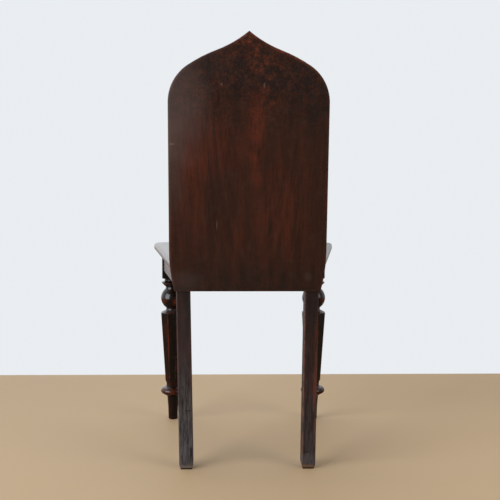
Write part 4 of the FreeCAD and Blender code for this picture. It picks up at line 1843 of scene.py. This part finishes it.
@dataclass
class SeatFrame:
    """The rails, braces, glue blocks and screws, whose solids are shown as they are."""

    rails: dict[str, Grain] = field(default_factory=lambda: {
        "front_rail": Grain.ALONG_X,
        "back_rail": Grain.ALONG_X,
        "side_rail_left": Grain.ALONG_Y,
        "side_rail_right": Grain.ALONG_Y,
    })

    def make(self, finishes: dict[Grain, PolishedWood]) -> None:
        """Dresses every node of the frame.

        Args:
            finishes: the rails' finish for each direction of the grain.
        """
        across = BareWood("softwood_across", Grain.ALONG_X).build()
        ahead = BareWood("softwood_ahead", Grain.ALONG_Y).build()
        steel = OldSteel("screw_steel").build()
        for name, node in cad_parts.items():
            if name in self.rails:
                dress(node, finishes[self.rails[name]].build())
            elif "screws" in name:
                dress(node, steel)
            elif "side_glue" in name:
                dress(node, ahead)
            elif "brace" in name or "glue" in name:
                dress(node, across)


@dataclass(frozen=True)
class Lamp:
    """A square soft lamp: where it hangs, how wide it is, its power in watts and its colour."""

    place: Place
    size: float
    power: float
    colour: Colour

    def hang(self, name: str) -> None:
        """Hangs the lamp, so that it looks at the chair.

        Args:
            name: the lamp's name.
        """
        data = bpy.data.lights.new(name, "AREA")
        data.size = self.size
        data.energy = self.power
        data.color = self.colour
        lamp = bpy.data.objects.new(name, data)
        bpy.context.scene.collection.objects.link(lamp)
        lamp.location = self.place
        aim = Vector((0, 0, SHAPE.seat_height)) - Vector(self.place)
        lamp.rotation_euler = aim.to_track_quat("-Z", "Y").to_euler()


@dataclass
class Studio:
    """The floor, the lights and the camera."""

    floor_width: float = 5.0
    floor_front: float = -0.645
    floor_rear: float = 3.2
    floor_drop: float = 0.2 * MM
    floor_cuts: int = 3
    floor_colour: Colour = srgb(208, 178, 138)
    floor_shade: float = 0.93
    floor_mottle: Pattern = Pattern(5.0, 4.0)
    floor_roughness: float = 0.5
    floor_roughness_range: float = 0.2
    wall_light: Colour = (0.95, 0.97, 1.0)
    wall_shade: Colour = (0.56, 0.57, 0.58)
    wall_edge: Span = (-0.12, 0.05)
    room_light: Colour = (0.11, 0.11, 0.12)
    room_edge: Span = (-0.25, 0.45)
    window_light: Colour = (0.62, 0.70, 0.84)
    window_across: Span = (0.28, 0.60)
    window_ahead: Span = (-0.4, 0.0)
    window_top: Span = (0.75, 0.5)
    ground_light: Colour = (0.15, 0.105, 0.065)
    ground_edge: Span = (0.0, -0.25)
    backdrop: Colour = (0.82, 0.85, 0.88)
    window: Lamp = Lamp((6.3, 4.5, 2.33), 6.0, 675.0, (0.94, 0.96, 1.0))
    bounce: Lamp = Lamp((-4.4, 3.2, 2.2), 3.0, 110.0, (1.0, 0.94, 0.87))
    camera_place: Place = (0.0683, 2.4130, 0.755)
    camera_heading: Point = (-0.03263, -0.99947)
    camera_pitch: float = math.radians(7.06)
    camera_roll: float = math.radians(0.27)
    lens: float = 50.0
    sensor_width: float = 24.0

    def floor(self) -> None:
        """Lays the floor, whose far edge meets the pale background."""
        deselect_all()
        length = self.floor_rear - self.floor_front
        bpy.ops.mesh.primitive_plane_add(size=1.0, location=(0, 0, 0))
        floor = bpy.context.object
        floor.name = "pale_floor"
        bpy.ops.object.mode_set(mode="EDIT")
        bpy.ops.mesh.select_all(action="SELECT")
        bpy.ops.transform.resize(value=(self.floor_width, length, 1.0), center_override=(0, 0, 0))
        middle = (self.floor_rear + self.floor_front) / 2
        bpy.ops.transform.translate(value=(0, middle, -self.floor_drop))
        bpy.ops.mesh.subdivide(number_cuts=self.floor_cuts)
        bpy.ops.object.mode_set(mode="OBJECT")
        finish = Finish("floor_paint")
        mottle = finish.noise(self.floor_mottle, finish.place())
        shade = tuple(channel * self.floor_shade for channel in self.floor_colour)
        finish.feed("Base Color", finish.mix(mottle, shade, self.floor_colour))
        finish.feed("Roughness", (mottle * self.floor_roughness_range + self.floor_roughness).held())
        floor.data.materials.append(finish.material)
        floor.visible_glossy = False

    def sky(self) -> None:
        """Lights the room: a bright wall ahead of the sitter, a dim room behind, and warm ground."""
        world = bpy.context.scene.world or bpy.data.worlds.new("studio")
        bpy.context.scene.world = world
        world.use_nodes = True
        recipe = Recipe(world.node_tree)
        across, ahead, height = recipe.split(recipe.add("ShaderNodeTexCoord", {}, {}, "Generated"))
        wall = recipe.mix(across.between(*self.wall_edge), self.wall_shade, self.wall_light)
        around = recipe.mix(ahead.between(*self.room_edge), wall, self.room_light)
        window = across.between(*self.window_across) * ahead.between(*self.window_ahead)
        window = window * height.between(*self.window_top)
        around = recipe.mix(window, around, self.window_light)
        around = recipe.mix(height.between(*self.ground_edge), around, self.ground_light)
        rays = recipe.add("ShaderNodeLightPath", {}, {}, "Is Camera Ray")
        shown = recipe.mix(rays, around, self.backdrop)
        light = recipe.add("ShaderNodeBackground", {}, {"Color": shown, "Strength": 1.0})
        recipe.node("ShaderNodeOutputWorld", {}, {"Surface": light})

    def camera(self) -> None:
        """Stands the camera where the photograph was taken from."""
        level = Vector((*self.camera_heading, 0)).normalized()
        ahead = level * math.cos(self.camera_pitch) - Vector((0, 0, math.sin(self.camera_pitch)))
        right = ahead.cross(Vector((0, 0, 1))).normalized()
        up = right.cross(ahead)
        turned_right = right * math.cos(self.camera_roll) + up * math.sin(self.camera_roll)
        turned_up = up * math.cos(self.camera_roll) - right * math.sin(self.camera_roll)
        data = bpy.data.cameras.new("photo_camera")
        data.lens = self.lens
        data.sensor_fit = "HORIZONTAL"
        data.sensor_width = self.sensor_width
        camera = bpy.data.objects.new("photo_camera", data)
        bpy.context.scene.collection.objects.link(camera)
        pose = Matrix((turned_right, turned_up, -ahead)).transposed().to_4x4()
        pose.translation = Vector(self.camera_place)
        camera.matrix_world = pose
        bpy.context.scene.camera = camera

    def make(self) -> None:
        """Sets up the whole studio."""
        self.floor()
        self.sky()
        self.window.hang("window")
        self.bounce.hang("bounce")
        self.camera()
        bpy.context.scene.view_settings.view_transform = "Standard"


BACK_FINISH = PolishedWood(
    "polished_back", Grain.ALONG_Z, Log((-0.012, -0.0173), (0.0, 0.2355)),
    rear_only=True,
    rubbing=0.2,
    varnish_from=0.68,
    hazes_and_sheens=(
        # The first two patches are a painted sheen on the left shoulder and down the left side.
        on_rear(0.170, 0.79, 0.110, 0.17, 0.52, 0.3),
        on_rear(0.160, 0.66, 0.04, 0.14, 0.20, 0.6),
        on_rear(0.070, 0.87, 0.07, 0.045, 0.05, 0.6),
        on_rear(-0.131, 0.419, 0.014, 0.013, 0.16, 0.6),
        on_rear(0.135, 0.410, 0.050, 0.035, 0.16, 0.4),
    ),
    glows_and_reflections=(
        on_rear(-0.016, 0.73, 0.024, 0.15, 0.8, 0.7),
        on_rear(-0.07, 0.56, 0.07, 0.13, 0.3),
        on_rear(0.13, 0.62, 0.04, 0.10, 0.3),
        on_rear(0.10, 0.71, 0.11, 0.11, 0.4, 0.5),
        on_rear(0.12, 0.53, 0.08, 0.07, 0.12, 0.5),
    ),
    rusts=(
        on_rear(-0.004, 0.92, 0.05, 0.05, 0.65, 1.0),
        on_rear(-0.045, 0.870, 0.06, 0.04, 0.30),
        on_rear(-0.03, 0.79, 0.05, 0.06, 0.25),
    ),
    rims=(
        on_rear(-0.09, 0.89, 0.10, 0.06),
        on_rear(0.0, 0.94, 0.05, 0.03),
    ),
    nicks=(
        on_rear(0.057, 0.831, 0.003, 0.004, 0.3, 0.0),
        on_rear(-0.032, 0.829, 0.003, 0.008, 0.3, 0.0),
        on_rear(0.162, 0.706, 0.008, 0.003, 0.4, 0.0),
        on_rear(0.067, 0.533, 0.002, 0.014, 0.25, 0.0),
    ),
    shadows=(
        on_rear(0.060, 0.870, 0.09, 0.06, 1.0, 0.5),
        # The next two are painted shade on the right of the head and the right shoulder.
        on_rear(-0.07, 0.855, 0.10, 0.06, 0.8, 0.6),
        on_rear(-0.14, 0.80, 0.08, 0.12, 0.9, 0.5),
        on_rear(0.02, 0.815, 0.06, 0.03, 0.5),
        # Darker towards the bottom of the back.
        on_rear(0.0, 0.40, 0.30, 0.08, 0.8),
        # Painted shade along the lower edge.
        on_rear(0.0, 0.386, 0.30, 0.012, 1.5, 0.0),
    ),
)

SEAT_FINISH = PolishedWood(
    "polished_seat", Grain.ALONG_X, Log((0.40, 0.0), (0.12, 0.0)), (0.7, 0.3, 0.2),
    shine=0.16,
    polish=0.5,
    specular=0.6,
    rubbing=0.1,
    relief=0.1,
)

RAIL_FINISHES = {
    Grain.ALONG_X: PolishedWood(
        "polished_cross_rail", Grain.ALONG_X, Log((0.34, 0.05)), (0.1, 0.6, 0.2),
        shine=0.2,
        specular=0.5,
    ),
    Grain.ALONG_Y: PolishedWood(
        "polished_side_rail", Grain.ALONG_Y, Log((0.1, 0.30)), (0.4, 0.2, 0.1),
        shine=0.12,
        specular=0.8,
        relief=0.2,
    ),
}


def front_leg_finish(side: Side) -> PolishedWood:
    """The nearly black finish of a front leg, with painted reflections on the ball, a painted highlight on
    the crown and painted shade at the peg.

    Args:
        side: the leg's side.

    Returns:
        The finish.
    """
    sign = side.value
    return PolishedWood(
        f"polished_front_leg_{side.word}", Grain.ALONG_Z, Log((0.1 * sign, -0.30), (0.0, 0.02)),
        (0.5, 0.1 * sign, 0.3),
        dark=srgb(9, 8, 6),
        middle=srgb(23, 14, 10),
        red=srgb(108, 38, 16),
        rubbed=srgb(112, 44, 20),
        old_varnish_and_shade=srgb(8, 8, 6),
        shine=0.15,
        polish=0.5,
        coat_roughness=0.07,
        rubbing=0.5,
        # Painted warm reflections of the floor on the lower part of the ball.
        glows_and_reflections=(
            Patch((0.166 * sign, -0.14, 0.305), (0.018, 0.05, 0.016), 1.0, 0.6),
            Patch((0.200 * sign, -0.15, 0.308), (0.012, 0.05, 0.012), 0.6, 0.6),
        ),
        # A painted highlight round the crown and cove.
        hazes_and_sheens=(Patch((0.18 * sign, -0.13, 0.281), (0.08, 0.08, 0.008), 0.45, 0.3),),
        # Painted shade on the peg, near the floor.
        shadows=(Patch((0.19 * sign, -0.15, 0.02), (0.1, 0.1, 0.07), 1.4, 0.0),),
    )


def rear_leg_finish(side: Side) -> PolishedWood:
    """The finish of a rear leg: the left one is scuffed grey under a painted sheen, the right one is warmer
    and redder, with painted warm reflections along its outer edge.

    Args:
        side: the leg's side.

    Returns:
        The finish.
    """
    sign = side.value
    grey_leg = side is Side.LEFT
    # A painted sheen down the leg, stronger on the left one.
    hazes_and_sheens = [on_rear(0.135 * sign, 0.20, 0.06, 0.28, 0.12 if grey_leg else 0.05)]
    glows_and_reflections = [on_rear(0.135 * sign, 0.22, 0.05, 0.12, 0.1 if grey_leg else 0.15)]
    rims = []
    if not grey_leg:
        hazes_and_sheens.append(on_rear(0.13 * sign, 0.016, 0.05, 0.028, 0.35, 0.5))
        # Painted warm reflections along the right leg's outer edge.
        glows_and_reflections.append(on_rear(0.1500 * sign, 0.24, 0.006, 0.10, 1.1, 0.5))
        glows_and_reflections.append(on_rear(0.1475 * sign, 0.14, 0.006, 0.10, 1.3, 0.5))
        rims.append(on_rear(0.1215 * sign, 0.17, 0.014, 0.30, 0.9, 0.3))
    return PolishedWood(
        f"polished_rear_leg_{side.word}", Grain.ALONG_Z, Log((0.08 * sign, 0.12), (0.0, 0.03)),
        (0.2, 0.3 * sign, 0.6),
        dark=srgb(16, 11, 9) if grey_leg else srgb(18, 10, 7),
        middle=srgb(35, 22, 18) if grey_leg else srgb(42, 23, 14),
        red=srgb(84, 37, 18),
        rubbed=srgb(104, 54, 32),
        haze_and_sheen=srgb(86, 82, 82),
        bare=srgb(104, 93, 84) if grey_leg else srgb(100, 74, 52),
        rubbing=0.22,
        polish=0.2,
        specular=0.2,
        scuff=0.95 if grey_leg else 0.30,
        bare_foot=10.5 * MM,
        hazes_and_sheens=tuple(hazes_and_sheens),
        glows_and_reflections=tuple(glows_and_reflections),
        rims=tuple(rims),
        dents=(on_rear(0.129 * sign, 0.128 if grey_leg else 0.037, 0.011, 0.0024, 0.6, 0.5),),
    )


def main() -> None:
    """Builds the dressed chair and its studio."""
    logging.basicConfig(level=logging.INFO, format="%(name)s: %(message)s")
    Back().make(BACK_FINISH)
    Seat().make(SEAT_FINISH)
    FrontLegs().make({side: front_leg_finish(side) for side in Side})
    RearLegs().make({side: rear_leg_finish(side) for side in Side})
    SeatFrame().make(RAIL_FINISHES)
    Studio().make()


if __name__ == "__main__":
    main()
